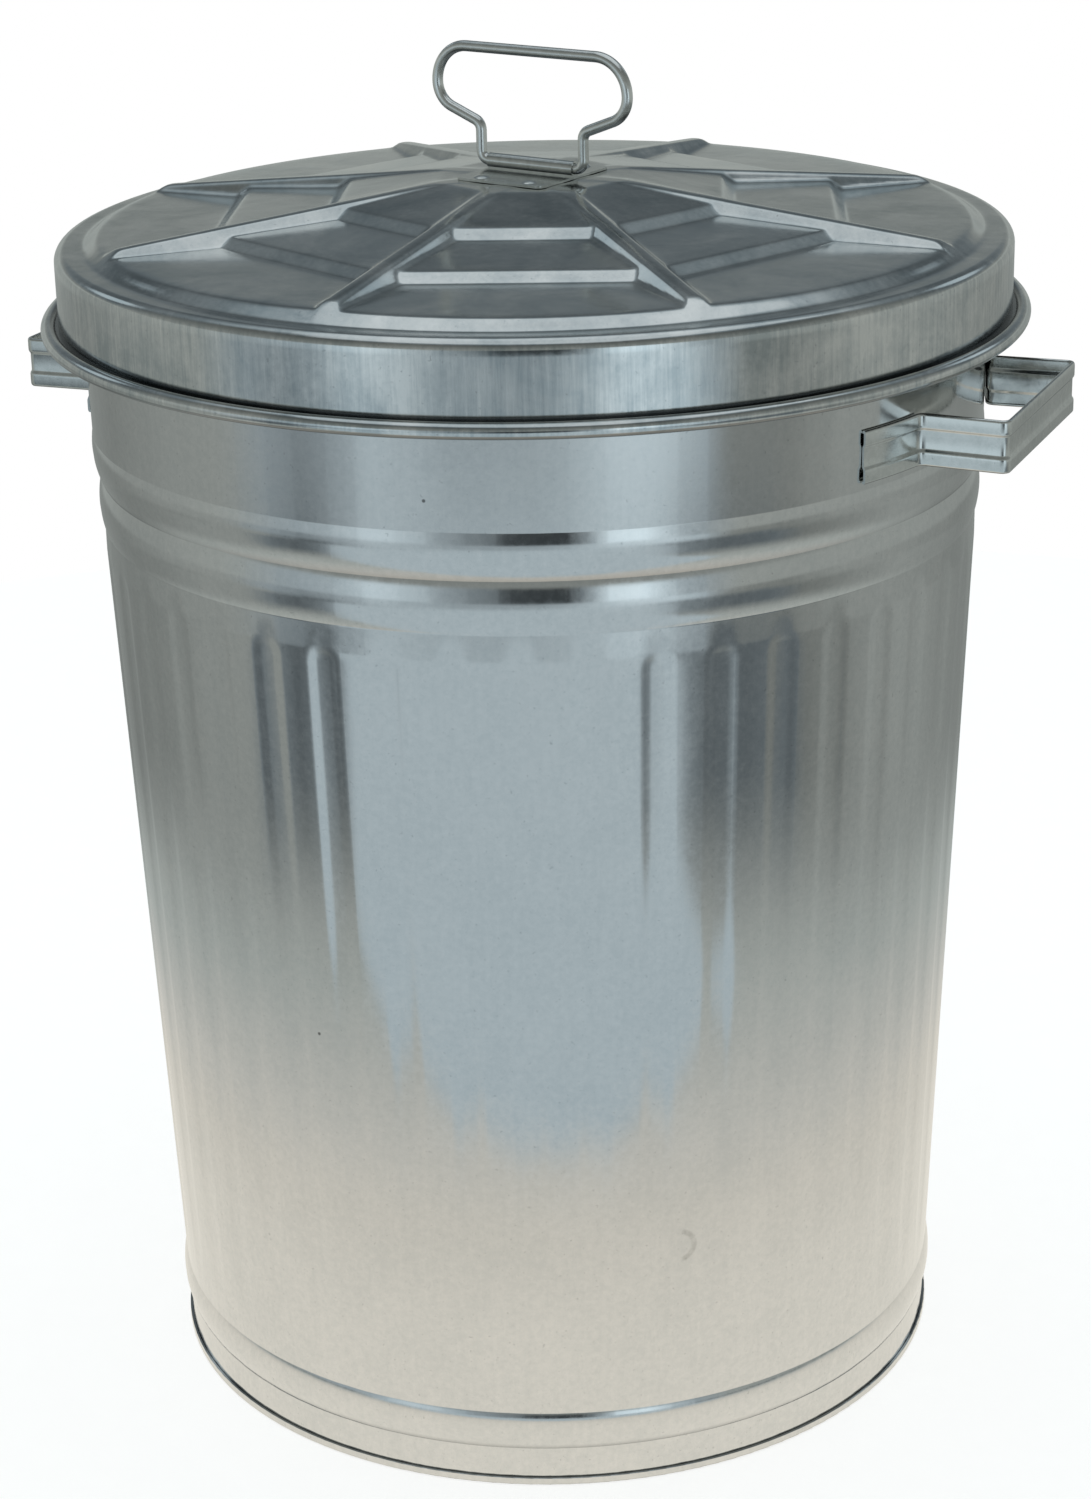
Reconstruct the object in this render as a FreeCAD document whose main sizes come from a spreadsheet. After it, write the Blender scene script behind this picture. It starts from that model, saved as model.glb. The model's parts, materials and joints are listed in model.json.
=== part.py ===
import FreeCAD, Part
import math
import os
import re

import Sketcher
from FreeCAD import Placement, Rotation, Vector

# Galvanized trash can with a lift-off lid, in millimetres.
# Z is up, the can stands on z = 0 with its axis on Z, and +X points to the right side handle.

RIB_COUNT = 8
Z_AXIS = Vector(0, 0, 1)

# Independent sizes of the object. Every name holds an underscore.
SIZES = {
    # can wall, from the floor up
    "can_sheet": 0.8,
    "base_radius": 180,
    "base_band_height": 17,
    "base_bead_height": 18.5,
    "base_bead_rise": 0.9,
    "base_bead_curve": 23,
    "fluted_height": 355.5,
    "fluted_flare": 14.8,
    "neck_height": 12,
    "lower_bead_height": 22.5,
    "lower_bead_rise": 0.2,
    "lower_bead_curve": 39,
    "upper_bead_height": 20.5,
    "upper_bead_rise": 2.6,
    "upper_bead_curve": 34,
    "upper_wall_height": 75.4,
    "upper_wall_flare": 1.3,
    "rim_curl_radius": 4,
    "rim_curl_start": 180,
    "rim_curl_end": -130,
    # flutes pressed into the wall
    "flute_count": 44,
    "flute_floor": 4.4,
    "flute_depth": 0.55,
    "flute_slope": 0.061,
    "flute_margin": 3.5,
    "flute_turn": -53.04,
    # lock seam at the back
    "seam_turn": 114.66,
    "seam_width": 8,
    "seam_step": 0.8,
    "seam_start": 5,
    "seam_stop_gap": 2.5,
    # bottom pan
    "pan_sheet": 1,
    "pan_recess": 8,
    "pan_corner_inside": 0.5,
    "pan_corner_outside": 1.5,
    "hem_height": 3.5,
    "hem_gap": 0.25,
    "hem_foot_inside": 0.25,
    "hem_foot_outside": 0.5,
    "hem_edge_round": 0.3,
    # wire rings in the curls
    "ring_gap": 0.1,
    # side handles
    "strap_width": 22.5,
    "strap_sheet": 1,
    "strap_recess_depth": 0.8,
    "strap_recess_width": 8.6,
    "strap_recess_slope": 1.1,
    "strap_lip": 1.2,
    "strap_face_round": 0.7,
    "strap_back_round": 0.4,
    "strap_rise": 14.5,
    "strap_wall_gap": 0.05,
    "grip_reach": 31.2,
    "grip_length": 108.8,
    "leg_spread": 105,
    "grip_corner": 4,
    "foot_corner": 3,
    "foot_bend_lead": 2,
    "foot_lead": 2,
    "foot_turn": 25,
    # lid
    "lid_sheet": 0.8,
    "lid_play": 2.2,
    "lid_seat_gap": 0.3,
    "lid_turn": -2.14,
    "skirt_height": 32.6,
    "shoulder_radius": 5,
    "ledge_width": 13,
    "border_run": 6,
    "border_rise": 4.5,
    "hub_rise": 23.5,
    "hub_reach": 39,
    "first_run": 44,
    "first_drop": 6.7,
    "second_run": 43,
    "second_drop": 3.3,
    "third_drop": 1.2,
    "riser_run": 5.5,
    "riser_drop": 4,
    "rib_root": 29.25,
    "rib_start": 42,
    "rib_fall": 0.1,
    "rib_top_width": 8.5,
    "rib_end_width": 6,
    "rib_wall_slope": 50,
    "lip_radius": 3.5,
    "lip_reach": 4.4,
    "lip_drop": 1.9,
    "lip_overlap": 0.88,
    "lip_curl_start": -175,
    "lip_curl_end": 160,
    # bail and its strap
    "bail_turn": -11.6,
    "bail_wire": 4.8,
    "bail_height": 48.9,
    "bail_leg_reach": 27,
    "bail_lobe_reach": 50,
    "bail_lobe_radius": 16,
    "bail_lobe_height": 24.1,
    "bail_under_radius": 11.5,
    "bail_shoulder_slope": 21,
    "bail_shoulder_bend": 4.5,
    "bail_foot_bend": 4,
    "bail_pin_length": 13,
    "bail_pin_gap": 0.08,
    "plate_sheet": 1,
    "plate_length": 46,
    "plate_width": 54,
    "plate_corner": 4,
    "roll_sheet": 0.8,
    "roll_length": 45,
    "roll_web": 4,
    # rivets
    "rivet_along": 12.5,
    "rivet_across": 21,
    "rivet_shank": 4,
    "rivet_hole_gap": 0.1,
    "rivet_head": 7.2,
    "rivet_head_height": 1,
}

# Sizes that follow from the ones above.
DERIVED = {
    "base_bead_start": "pan_sheet + base_band_height",
    "fluted_start": "base_bead_start + base_bead_height",
    "fluted_start_radius": "base_radius + base_bead_rise",
    "neck_start": "fluted_start + fluted_height",
    "neck_radius": "fluted_start_radius + fluted_flare",
    "lower_bead_start": "neck_start + neck_height",
    "upper_bead_start": "lower_bead_start + lower_bead_height",
    "upper_bead_radius": "neck_radius + lower_bead_rise",
    "upper_wall_start": "upper_bead_start + upper_bead_height",
    "upper_wall_radius": "upper_bead_radius + upper_bead_rise",
    "wall_top": "upper_wall_start + upper_wall_height",
    "wall_top_radius": "upper_wall_radius + upper_wall_flare",
    "rim_ring_radius": "wall_top_radius - can_sheet + rim_curl_radius",
    "rim_outer_radius": "rim_ring_radius + rim_curl_radius",
    "rim_top": "wall_top + rim_curl_radius",
    # the flutes lie on a plane parallel to the flared wall
    "flare_angle": "atan(fluted_flare / fluted_height) / (1 deg)",
    "flute_middle": "fluted_start + fluted_height / 2",
    "flute_middle_radius": "fluted_start_radius + fluted_flare / 2",
    "flute_centres": "fluted_height - 2 * flute_margin - flute_floor - 2 * flute_depth / flute_slope",
    "flute_clearance": "flute_depth / 5",
    "flute_mouth": "flute_floor / 2 + (flute_depth + flute_clearance) / flute_slope",
    # the block that the seam strip is cut with
    "seam_block_start": "base_radius * 0.9",
    "seam_block_length": "base_radius * 0.3",
    # handles
    "strap_depth": "strap_sheet + strap_recess_depth",
    "strap_level": "upper_wall_start + strap_rise",
    "strap_seat_radius": "upper_wall_radius"
    " + upper_wall_flare * (strap_rise + strap_width / 2) / upper_wall_height + strap_wall_gap",
    "strap_face_radius": "strap_seat_radius + strap_depth",
    "grip_face": "strap_face_radius + grip_reach",
    "foot_bend_turn": "asin(leg_spread / 2 / strap_face_radius) / (1 deg) + foot_bend_lead",
    "foot_mid_turn": "(foot_turn + foot_bend_turn) / 2",
    "foot_half_turn": "(foot_turn - foot_bend_turn) / 2",
    # lid
    "lid_under": "rim_top + lid_seat_gap",
    "lid_ledge": "lid_under + lid_sheet",
    "skirt_radius": "rim_outer_radius + lid_play + lid_sheet",
    "skirt_foot": "lid_ledge - skirt_height",
    "border_radius": "skirt_radius - ledge_width",
    "hub_top": "lid_ledge + hub_rise",
    "hub_slope_end": "border_radius - hub_rise * border_run / border_rise",
    "first_end": "hub_reach + first_run",
    "second_start": "first_end + riser_run",
    "second_end": "second_start + second_run",
    "third_start": "second_end + riser_run",
    "first_low": "hub_top - first_drop",
    "second_high": "first_low - riser_drop",
    "second_low": "second_high - second_drop",
    "third_high": "second_low - riser_drop",
    "third_end": "border_radius - border_run",
    "third_low": "third_high - third_drop",
    "lip_ring_radius": "skirt_radius + lip_reach",
    "lip_level": "skirt_foot - lip_drop",
    # bail
    "pin_radius": "bail_wire / 2",
    "bore_radius": "pin_radius + bail_pin_gap",
    "roll_radius": "bore_radius + roll_sheet",
    "bore_length": "roll_length * 1.5",
    "plate_top": "hub_top + plate_sheet",
    "bail_level": "plate_top + roll_radius",
    "bail_top": "bail_level + bail_height",
    "shoulder_low": "bail_top - bail_lobe_height"
    " - (bail_lobe_reach - bail_leg_reach) * tan(bail_shoulder_slope)",
    # rivets
    "rivet_dome": "(rivet_head * rivet_head / 4 + rivet_head_height * rivet_head_height)"
    " / 2 / rivet_head_height",
    "rivet_dome_start": "asin((rivet_dome - rivet_head_height) / rivet_dome) / (1 deg)",
}

document = FreeCAD.newDocument("trash_can")
sheet = document.addObject("Spreadsheet::Sheet", "Size")


def fill_sheet():
    """Write every size into the sheet under its own name."""
    row = 0
    for name, number in SIZES.items():
        row += 1
        sheet.set("A%d" % row, name)
        sheet.set("B%d" % row, str(number))
        sheet.setAlias("B%d" % row, name)
    for name, formula in DERIVED.items():
        row += 1
        sheet.set("A%d" % row, name)
        sheet.set("B%d" % row, "=" + formula)
        sheet.setAlias("B%d" % row, name)
    document.recompute()


def linked(formula):
    """Return the formula with each size name pointing at the sheet."""
    return re.sub(r"\b([a-z]+(?:_[a-z]+)+)\b", r"Size.\1", formula)


def value(formula):
    """Return the number a formula stands for."""
    return float(sheet.evalExpression(linked(formula)))


def bind(thing, **formulas):
    """Tie properties to formulas. A double underscore in a keyword stands for a dot."""
    for name, formula in formulas.items():
        thing.setExpression(name.replace("__", "."), linked(formula))


def turn(thing, formula):
    """Turn a sub-part about the can's axis by an angle that follows the sheet."""
    thing.Placement = Placement(Vector(0, 0, 0), Rotation(Z_AXIS, 1))
    bind(thing, Placement__Rotation__Angle=formula)


# ---------------------------------------------------------------- sketches


def origin_feature(body, role):
    for feature in body.Origin.OriginFeatures:
        if feature.Role == role:
            return feature
    raise ValueError("no origin feature " + role)


def new_body(name):
    return document.addObject("PartDesign::Body", name)


def new_sketch(body, name, plane):
    sketch = body.newObject("Sketcher::SketchObject", name)
    sketch.AttachmentSupport = [(origin_feature(body, plane), "")]
    sketch.MapMode = "FlatFace"
    return sketch


def dimension(sketch, kind, geometry, formula):
    """Add a radius constraint that follows a formula."""
    index = sketch.addConstraint(Sketcher.Constraint(kind, geometry, value(formula)))
    sketch.setExpression("Constraints[%d]" % index, linked(formula))


def fix_point(sketch, geometry, end, across, along):
    """Hold one point of the sketch at a pair of coordinates."""
    for kind, axis, formula in (("DistanceX", -2, across), ("DistanceY", -1, along)):
        if formula == "0":
            sketch.addConstraint(Sketcher.Constraint("PointOnObject", geometry, end, axis))
            continue
        rule = Sketcher.Constraint(kind, -1, 1, geometry, end, value(formula))
        index = sketch.addConstraint(rule)
        sketch.setExpression("Constraints[%d]" % index, linked(formula))


def circular_arc(centre, radius, start, end):
    """Arc that runs anticlockwise from the start point to the end point."""
    circle = Part.Circle(centre, Z_AXIS, radius)
    first = math.atan2(start.y - centre.y, start.x - centre.x)
    last = math.atan2(end.y - centre.y, end.x - centre.x)
    return Part.ArcOfCircle(circle, first, last)


def add_line(sketch, start, end):
    """Add a line and return (geometry, start end, finish end)."""
    return sketch.addGeometry(Part.LineSegment(start, end)), 1, 2


def add_bulge(sketch, start, end, radius_formula):
    """Add an arc that bulges to the right of the way from start to end."""
    radius = value(radius_formula)
    chord = end - start
    half = chord.Length / 2
    left = Vector(-chord.y, chord.x, 0).normalize()
    centre = (start + end) * 0.5 + left * math.sqrt(radius * radius - half * half)
    geometry = sketch.addGeometry(circular_arc(centre, radius, start, end))
    dimension(sketch, "Radius", geometry, radius_formula)
    return geometry, 1, 2


def add_corner_arc(sketch, corner, arrive, leave, reach, radius):
    """Round a corner of the outline and return (geometry, first end, last end)."""
    first = corner - arrive * reach
    last = corner + leave * reach
    left_turn = arrive.x * leave.y - arrive.y * leave.x > 0
    if left_turn:
        centre = first + Vector(-arrive.y, arrive.x, 0) * radius
        return sketch.addGeometry(circular_arc(centre, radius, first, last)), 1, 2
    centre = first + Vector(arrive.y, -arrive.x, 0) * radius
    return sketch.addGeometry(circular_arc(centre, radius, last, first)), 2, 1


def draw(sketch, corners, bulges=None, closed=True):
    """Draw lines through the corners.

    A corner is (across, along) or (across, along, radius), all formulas.
    bulges gives the radius of a curved run by the number of the corner it leaves.
    """
    bulges = bulges or {}
    count = len(corners)
    points = [Vector(value(corner[0]), value(corner[1]), 0) for corner in corners]
    last_run = count if closed else count - 1
    ways = [(points[(i + 1) % count] - points[i]).normalize() for i in range(last_run)]

    reaches = [0] * count
    for i, corner in enumerate(corners):
        if len(corner) == 3:
            bend = ways[i - 1].getAngle(ways[i])
            reaches[i] = value(corner[2]) * math.tan(bend / 2)

    runs = []
    for i in range(last_run):
        following = (i + 1) % count
        start = points[i] + ways[i] * reaches[i]
        end = points[following] - ways[i] * reaches[following]
        if i in bulges:
            runs.append(add_bulge(sketch, start, end, bulges[i]))
        else:
            runs.append(add_line(sketch, start, end))

    for i, corner in enumerate(corners):
        if not closed and i == count - 1:
            fix_point(sketch, runs[-1][0], runs[-1][2], corner[0], corner[1])
        elif len(corner) == 2:
            fix_point(sketch, runs[i][0], runs[i][1], corner[0], corner[1])
            if closed or i > 0:
                before = runs[i - 1]
                joint = Sketcher.Constraint("Coincident", before[0], before[2], *runs[i][:2])
                sketch.addConstraint(joint)
        else:
            round_corner(sketch, corner, points[i], runs[i - 1], runs[i], ways, reaches, i)


def round_corner(sketch, corner, point, before, after, ways, reaches, i):
    """Join two runs by an arc whose sharp corner is held by the sheet."""
    arc = add_corner_arc(sketch, point, ways[i - 1], ways[i], reaches[i], value(corner[2]))
    sketch.addConstraint(Sketcher.Constraint("Tangent", before[0], before[2], arc[0], arc[1]))
    sketch.addConstraint(Sketcher.Constraint("Tangent", arc[0], arc[2], after[0], after[1]))
    dimension(sketch, "Radius", arc[0], corner[2])
    sharp = sketch.addGeometry(Part.Point(point), True)
    fix_point(sketch, sharp, 1, corner[0], corner[1])
    sketch.addConstraint(Sketcher.Constraint("PointOnObject", sharp, 1, before[0]))
    sketch.addConstraint(Sketcher.Constraint("PointOnObject", sharp, 1, after[0]))


def draw_slot(sketch, centres, radius):
    """Draw an upright slot round the sketch origin."""
    half = value(centres) / 2
    size = value(radius)
    top = Vector(0, half, 0)
    bottom = Vector(0, -half, 0)
    side = Vector(size, 0, 0)
    upper = sketch.addGeometry(circular_arc(top, size, top + side, top - side))
    lower = sketch.addGeometry(circular_arc(bottom, size, bottom - side, bottom + side))
    left = sketch.addGeometry(Part.LineSegment(top - side, bottom - side))
    right = sketch.addGeometry(Part.LineSegment(bottom + side, top + side))
    fix_point(sketch, upper, 3, "0", centres + " / 2")
    fix_point(sketch, lower, 3, "0", "-" + centres + " / 2")
    for first, start, second, end in (
        (upper, 2, left, 1),
        (left, 2, lower, 1),
        (lower, 2, right, 1),
        (right, 2, upper, 1),
    ):
        sketch.addConstraint(Sketcher.Constraint("Tangent", first, start, second, end))
    dimension(sketch, "Radius", upper, radius)


def draw_circle(sketch, across, along, radius):
    centre = Vector(value(across), value(along), 0)
    geometry = sketch.addGeometry(Part.Circle(centre, Z_AXIS, value(radius)))
    fix_point(sketch, geometry, 3, across, along)
    dimension(sketch, "Radius", geometry, radius)


# ---------------------------------------------------------------- features


def revolve(body, sketch):
    feature = body.newObject("PartDesign::Revolution", sketch.Name + "_turned")
    feature.Profile = sketch
    feature.ReferenceAxis = (sketch, ["V_Axis"])
    feature.Angle = 360
    body.Tip = feature
    return feature


def pad_both_ways(body, sketch, length):
    feature = body.newObject("PartDesign::Pad", sketch.Name + "_pad")
    feature.Profile = sketch
    feature.Midplane = True
    bind(feature, Length=length)
    body.Tip = feature
    return feature


def polar(body, original, count):
    feature = body.newObject("PartDesign::PolarPattern", original.Name + "_round")
    feature.Originals = [original]
    feature.Axis = (origin_feature(body, "Z_Axis"), [""])
    feature.Angle = 360
    if isinstance(count, str):
        bind(feature, Occurrences=count)
    else:
        feature.Occurrences = count
    body.Tip = feature
    return feature


def sweep(body, section, path):
    feature = body.newObject("PartDesign::AdditivePipe", section.Name + "_swept")
    feature.Profile = section
    feature.Spine = path
    body.Tip = feature
    return feature


def mirror(body, original, plane):
    feature = body.newObject("PartDesign::Mirrored", original.Name + "_mirrored")
    feature.Originals = [original]
    feature.MirrorPlane = (origin_feature(body, plane), [""])
    body.Tip = feature
    return feature


def combine(kind, name, base, tool):
    feature = document.addObject("Part::" + kind, name)
    feature.Base = base
    feature.Tool = tool
    return feature


def cut(name, base, tool):
    return combine("Cut", name, base, tool)


def common(name, base, tool):
    return combine("Common", name, base, tool)


def fuse(name, shapes):
    feature = document.addObject("Part::MultiFuse", name)
    feature.Shapes = shapes
    return feature


def wire_ring(name, ring_radius, level, wire_radius):
    """Closed ring of round wire lying flat at a level."""
    ring = document.addObject("Part::Torus", name)
    bind(ring, Radius1=ring_radius, Radius2=wire_radius, Placement__Base__z=level)
    return ring


def curl(name, ring_radius, level, radius, sheet_name, first, last):
    """Sheet edge rolled into a tube: a ring whose section runs between two angles."""
    body = new_body(name)
    sketch = new_sketch(body, name + "_section", "XZ_Plane")
    centre = Vector(value(ring_radius), value(level), 0)
    angles = [math.radians(value(first)), math.radians(value(last))]
    arcs = []
    for size in (radius, radius + " - " + sheet_name):
        circle = Part.Circle(centre, Z_AXIS, value(size))
        arc = sketch.addGeometry(Part.ArcOfCircle(circle, angles[0], angles[1]))
        fix_point(sketch, arc, 3, ring_radius, level)
        dimension(sketch, "Radius", arc, size)
        arcs.append(arc)
    outer = sketch.Geometry[arcs[0]]
    inner = sketch.Geometry[arcs[1]]
    for end, angle in ((1, first), (2, last)):
        start = inner.StartPoint if end == 1 else inner.EndPoint
        finish = outer.StartPoint if end == 1 else outer.EndPoint
        edge = add_line(sketch, start, finish)[0]
        sketch.addConstraint(Sketcher.Constraint("Coincident", edge, 1, arcs[1], end))
        sketch.addConstraint(Sketcher.Constraint("Coincident", edge, 2, arcs[0], end))
        sketch.addConstraint(Sketcher.Constraint("PointOnObject", arcs[0], 3, edge))
        turned = Sketcher.Constraint("Angle", edge, math.radians(value(angle)))
        index = sketch.addConstraint(turned)
        sketch.setExpression("Constraints[%d]" % index, "(%s) * 1 deg" % linked(angle))
    revolve(body, sketch)
    return body


# ---------------------------------------------------------------- can wall


def can_form(name, inset, fluted):
    """Solid bounded by the can wall's surface moved inward by the inset."""
    body = new_body(name)
    sketch = new_sketch(body, name + "_outline", "XZ_Plane")
    corners = [
        ("0", "pan_sheet"),
        ("base_radius" + inset, "pan_sheet"),
        ("base_radius" + inset, "base_bead_start"),
        ("fluted_start_radius" + inset, "fluted_start"),
        ("neck_radius" + inset, "neck_start"),
        ("neck_radius" + inset, "lower_bead_start"),
        ("upper_bead_radius" + inset, "upper_bead_start"),
        ("upper_wall_radius" + inset, "upper_wall_start"),
        ("wall_top_radius" + inset, "wall_top"),
        ("0", "wall_top"),
    ]
    draw(sketch, corners, {2: "base_bead_curve", 5: "lower_bead_curve", 6: "upper_bead_curve"})
    revolve(body, sketch)
    if fluted:
        press_flutes(body, name, inset)
    return body


def press_flutes(body, name, inset):
    """Take the ring of upright flutes out of a can form."""
    floor = flute_sketch(body, name + "_flute_floor", "-flute_depth" + inset, "flute_floor / 2")
    mouth = flute_sketch(body, name + "_flute_mouth", "flute_clearance" + inset, "flute_mouth")
    flute = body.newObject("PartDesign::SubtractiveLoft", name + "_flute")
    flute.Profile = floor
    flute.Sections = [mouth]
    flute.Ruled = True
    body.Tip = flute
    polar(body, flute, "flute_count")


def flute_sketch(body, name, lift, radius):
    """Slot on a plane parallel to the flared wall, lifted outward from it."""
    sketch = new_sketch(body, name, "YZ_Plane")
    sketch.AttachmentOffset = Placement(Vector(0, 0, 0), Rotation(Vector(1, 0, 0), 1))
    bind(
        sketch,
        AttachmentOffset__Rotation__Angle="flare_angle",
        AttachmentOffset__Base__y="flute_middle - (%s) * sin(flare_angle)" % lift,
        AttachmentOffset__Base__z="flute_middle_radius + (%s) * cos(flare_angle)" % lift,
    )
    draw_slot(sketch, "flute_centres", radius)
    return sketch


def make_body_shell():
    outer = can_form("can_outer", "", True)
    inner = can_form("can_inner", " - can_sheet", True)
    turn(outer, "flute_turn")
    turn(inner, "flute_turn")
    seam = common("seam_strip", can_form("can_seam", " + seam_step", False), seam_block())
    wall = cut("can_wall", fuse("can_wall_solid", [outer, seam]), inner)
    rim = curl(
        "rim_curl",
        "rim_ring_radius",
        "wall_top",
        "rim_curl_radius",
        "can_sheet",
        "rim_curl_end",
        "rim_curl_start",
    )
    return fuse("body_shell", [wall, rim])


def seam_block():
    """Upright block that holds the width of the lock seam."""
    block = document.addObject("Part::Box", "seam_block")
    block.Placement = Placement(Vector(0, 0, 0), Rotation(Z_AXIS, 1))
    bind(
        block,
        Length="seam_block_length",
        Width="seam_width",
        Height="wall_top - rim_curl_radius - seam_stop_gap - seam_start",
        Placement__Rotation__Angle="seam_turn",
        Placement__Base__x="seam_block_start * cos(seam_turn) + seam_width / 2 * sin(seam_turn)",
        Placement__Base__y="seam_block_start * sin(seam_turn) - seam_width / 2 * cos(seam_turn)",
        Placement__Base__z="seam_start",
    )
    return block


def make_bottom_pan():
    """Recessed floor whose edge is folded round the lower edge of the wall."""
    body = new_body("bottom_pan")
    sketch = new_sketch(body, "pan_section", "XZ_Plane")
    inner = "base_radius - can_sheet - hem_gap"
    outer = "base_radius + hem_gap"
    corners = [
        ("0", "pan_recess"),
        (inner + " - pan_sheet", "pan_recess", "pan_corner_inside"),
        (inner + " - pan_sheet", "0", "hem_foot_inside"),
        (outer + " + pan_sheet", "0", "hem_foot_outside"),
        (outer + " + pan_sheet", "hem_height", "hem_edge_round"),
        (outer, "hem_height"),
        (outer, "pan_sheet"),
        (inner, "pan_sheet"),
        (inner, "pan_recess + pan_sheet", "pan_corner_outside"),
        ("0", "pan_recess + pan_sheet"),
    ]
    draw(sketch, corners)
    revolve(body, sketch)
    return body


def make_rim_wire():
    inside = "rim_curl_radius - can_sheet - ring_gap"
    return wire_ring("rim_wire", "rim_ring_radius", "wall_top", inside)


# ---------------------------------------------------------------- side handles


def strap_section(sketch):
    """Pressed strap: a sunk middle band and two long edges turned in."""
    face = "grip_face"
    web = "grip_face - strap_sheet"
    sunk = "grip_face - strap_recess_depth"
    back = "grip_face - strap_depth"
    # (across, distance from the strap's middle) on the upper half, from the face round to the back
    upper = [
        (sunk, "strap_recess_width / 2 - strap_recess_slope / 2"),
        (face, "strap_recess_width / 2 + strap_recess_slope / 2"),
        (face, "strap_width / 2", "strap_face_round"),
        (back, "strap_width / 2", "strap_back_round"),
        (back, "strap_width / 2 - strap_lip"),
        (web, "strap_width / 2 - strap_lip"),
        (web, "strap_recess_width / 2 + strap_recess_slope"),
        (back, "strap_recess_width / 2"),
    ]
    corners = [(c[0], "strap_level + " + c[1]) + c[2:] for c in upper]
    corners += [(c[0], "strap_level - (" + c[1] + ")") + c[2:] for c in reversed(upper)]
    draw(sketch, corners)


def strap_path(sketch):
    """Outer face of half a handle seen from above: grip, leg, then the foot round the wall."""
    face = "strap_face_radius"
    bend_across = "(%s - leg_spread / 2 * sin(foot_bend_turn)) / cos(foot_bend_turn)" % face
    foot_far = "%s / cos(foot_half_turn)" % face
    corners = [
        ("grip_face", "0"),
        ("grip_face", "grip_length / 2", "grip_corner"),
        (bend_across, "leg_spread / 2", "foot_corner"),
        (foot_far + " * cos(foot_mid_turn)", foot_far + " * sin(foot_mid_turn)", face),
        (
            "%s * cos(foot_turn) - foot_lead * sin(foot_turn)" % face,
            "%s * sin(foot_turn) + foot_lead * cos(foot_turn)" % face,
        ),
    ]
    draw(sketch, corners, closed=False)


def make_side_handle(name, side_turn):
    body = new_body(name)
    path = new_sketch(body, name + "_path", "XY_Plane")
    bind(path, AttachmentOffset__Base__z="strap_level")
    strap_path(path)
    section = new_sketch(body, name + "_section", "XZ_Plane")
    strap_section(section)
    mirror(body, sweep(body, section, path), "XZ_Plane")
    body.Placement = Placement(Vector(0, 0, 0), Rotation(Z_AXIS, side_turn))
    return body


# ---------------------------------------------------------------- lid


def lid_blank(name, inset, foot):
    """Round form of the lid: skirt, shoulder, ledge and the cone that borders the crown."""
    body = new_body(name)
    sketch = new_sketch(body, name + "_outline", "XZ_Plane")
    corners = [
        ("0", foot),
        ("skirt_radius" + inset, foot),
        ("skirt_radius" + inset, "lid_ledge" + inset, "shoulder_radius" + inset),
        ("border_radius", "lid_ledge" + inset),
        ("hub_slope_end", "hub_top" + inset),
        ("0", "hub_top" + inset),
    ]
    draw(sketch, corners)
    revolve(body, sketch)
    return body


def crown_gable(name, number, lift):
    """Ridge whose two flanks are opposite stepped facets of the crown, raised by the lift."""
    body = new_body(name)
    sketch = new_sketch(body, name + "_outline", "XZ_Plane")
    flank = [
        ("skirt_radius", "skirt_foot"),
        ("skirt_radius", "third_low"),
        ("third_end", "third_low"),
        ("third_start", "third_high"),
        ("second_end", "second_low"),
        ("second_start", "second_high"),
        ("first_end", "first_low"),
        ("hub_reach", "hub_top"),
    ]
    corners = flank + [("-" + c[0], c[1]) for c in reversed(flank)]
    draw(sketch, corners)
    pad_both_ways(body, sketch, "skirt_radius * 2")
    turn(body, "lid_turn + %s" % ((number + 0.5) * 360 / RIB_COUNT))
    bind(body, Placement__Base__z=lift)
    return body


def rib_sketch(body, name, reach, width):
    """Section of a rib at a distance from the lid's axis."""
    sketch = new_sketch(body, name, "YZ_Plane")
    bind(sketch, AttachmentOffset__Base__z=reach)
    top = "hub_top - rib_fall * (%s - rib_start)" % reach
    foot = "third_low - riser_drop"
    spread = "%s / 2 + (%s - (%s)) / tan(rib_wall_slope)" % (width, top, foot)
    corners = [
        ("-(%s)" % spread, foot),
        (spread, foot),
        (width + " / 2", top),
        ("-%s / 2" % width, top),
    ]
    draw(sketch, corners)
    return sketch


def crown_ribs(name, lift):
    """Eight ribs that fall away from the hub between the facets, raised by the lift."""
    body = new_body(name)
    near = rib_sketch(body, name + "_near", "rib_root", "rib_top_width")
    far = rib_sketch(body, name + "_far", "skirt_radius - shoulder_radius", "rib_end_width")
    rib = body.newObject("PartDesign::AdditiveLoft", name + "_rib")
    rib.Profile = near
    rib.Sections = [far]
    rib.Ruled = True
    body.Tip = rib
    polar(body, rib, RIB_COUNT)
    turn(body, "lid_turn")
    bind(body, Placement__Base__z=lift)
    return body


def lid_form(name, inset, lift, foot):
    """Solid under the lid's surface, down to the foot. The underside's crown has a lift below 0."""
    crown = crown_gable(name + "_gable_1", 0, lift)
    for number in range(1, RIB_COUNT // 2):
        gable = crown_gable("%s_gable_%d" % (name, number + 1), number, lift)
        crown = common("%s_facets_%d" % (name, number), crown, gable)
    ribbed = fuse(name + "_crown", [crown, crown_ribs(name + "_ribs", lift)])
    return common(name, lid_blank(name + "_blank", inset, foot), ribbed)


def make_lid_shell():
    outer = lid_form("lid_outer", "", "0", "skirt_foot - lid_sheet")
    inner = lid_form("lid_inner", " - lid_sheet", "-lid_sheet", "skirt_foot - lid_sheet")
    lip = curl(
        "lip_curl",
        "lip_ring_radius",
        "lip_level",
        "lip_radius",
        "lid_sheet",
        "lip_curl_start",
        "lip_curl_end",
    )
    whole = fuse("lid_sheet_metal", [cut("lid_pressing", outer, inner), lip_flange(), lip])
    return cut("lid_shell", whole, rivet_holes("lid_rivet_holes"))


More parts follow.
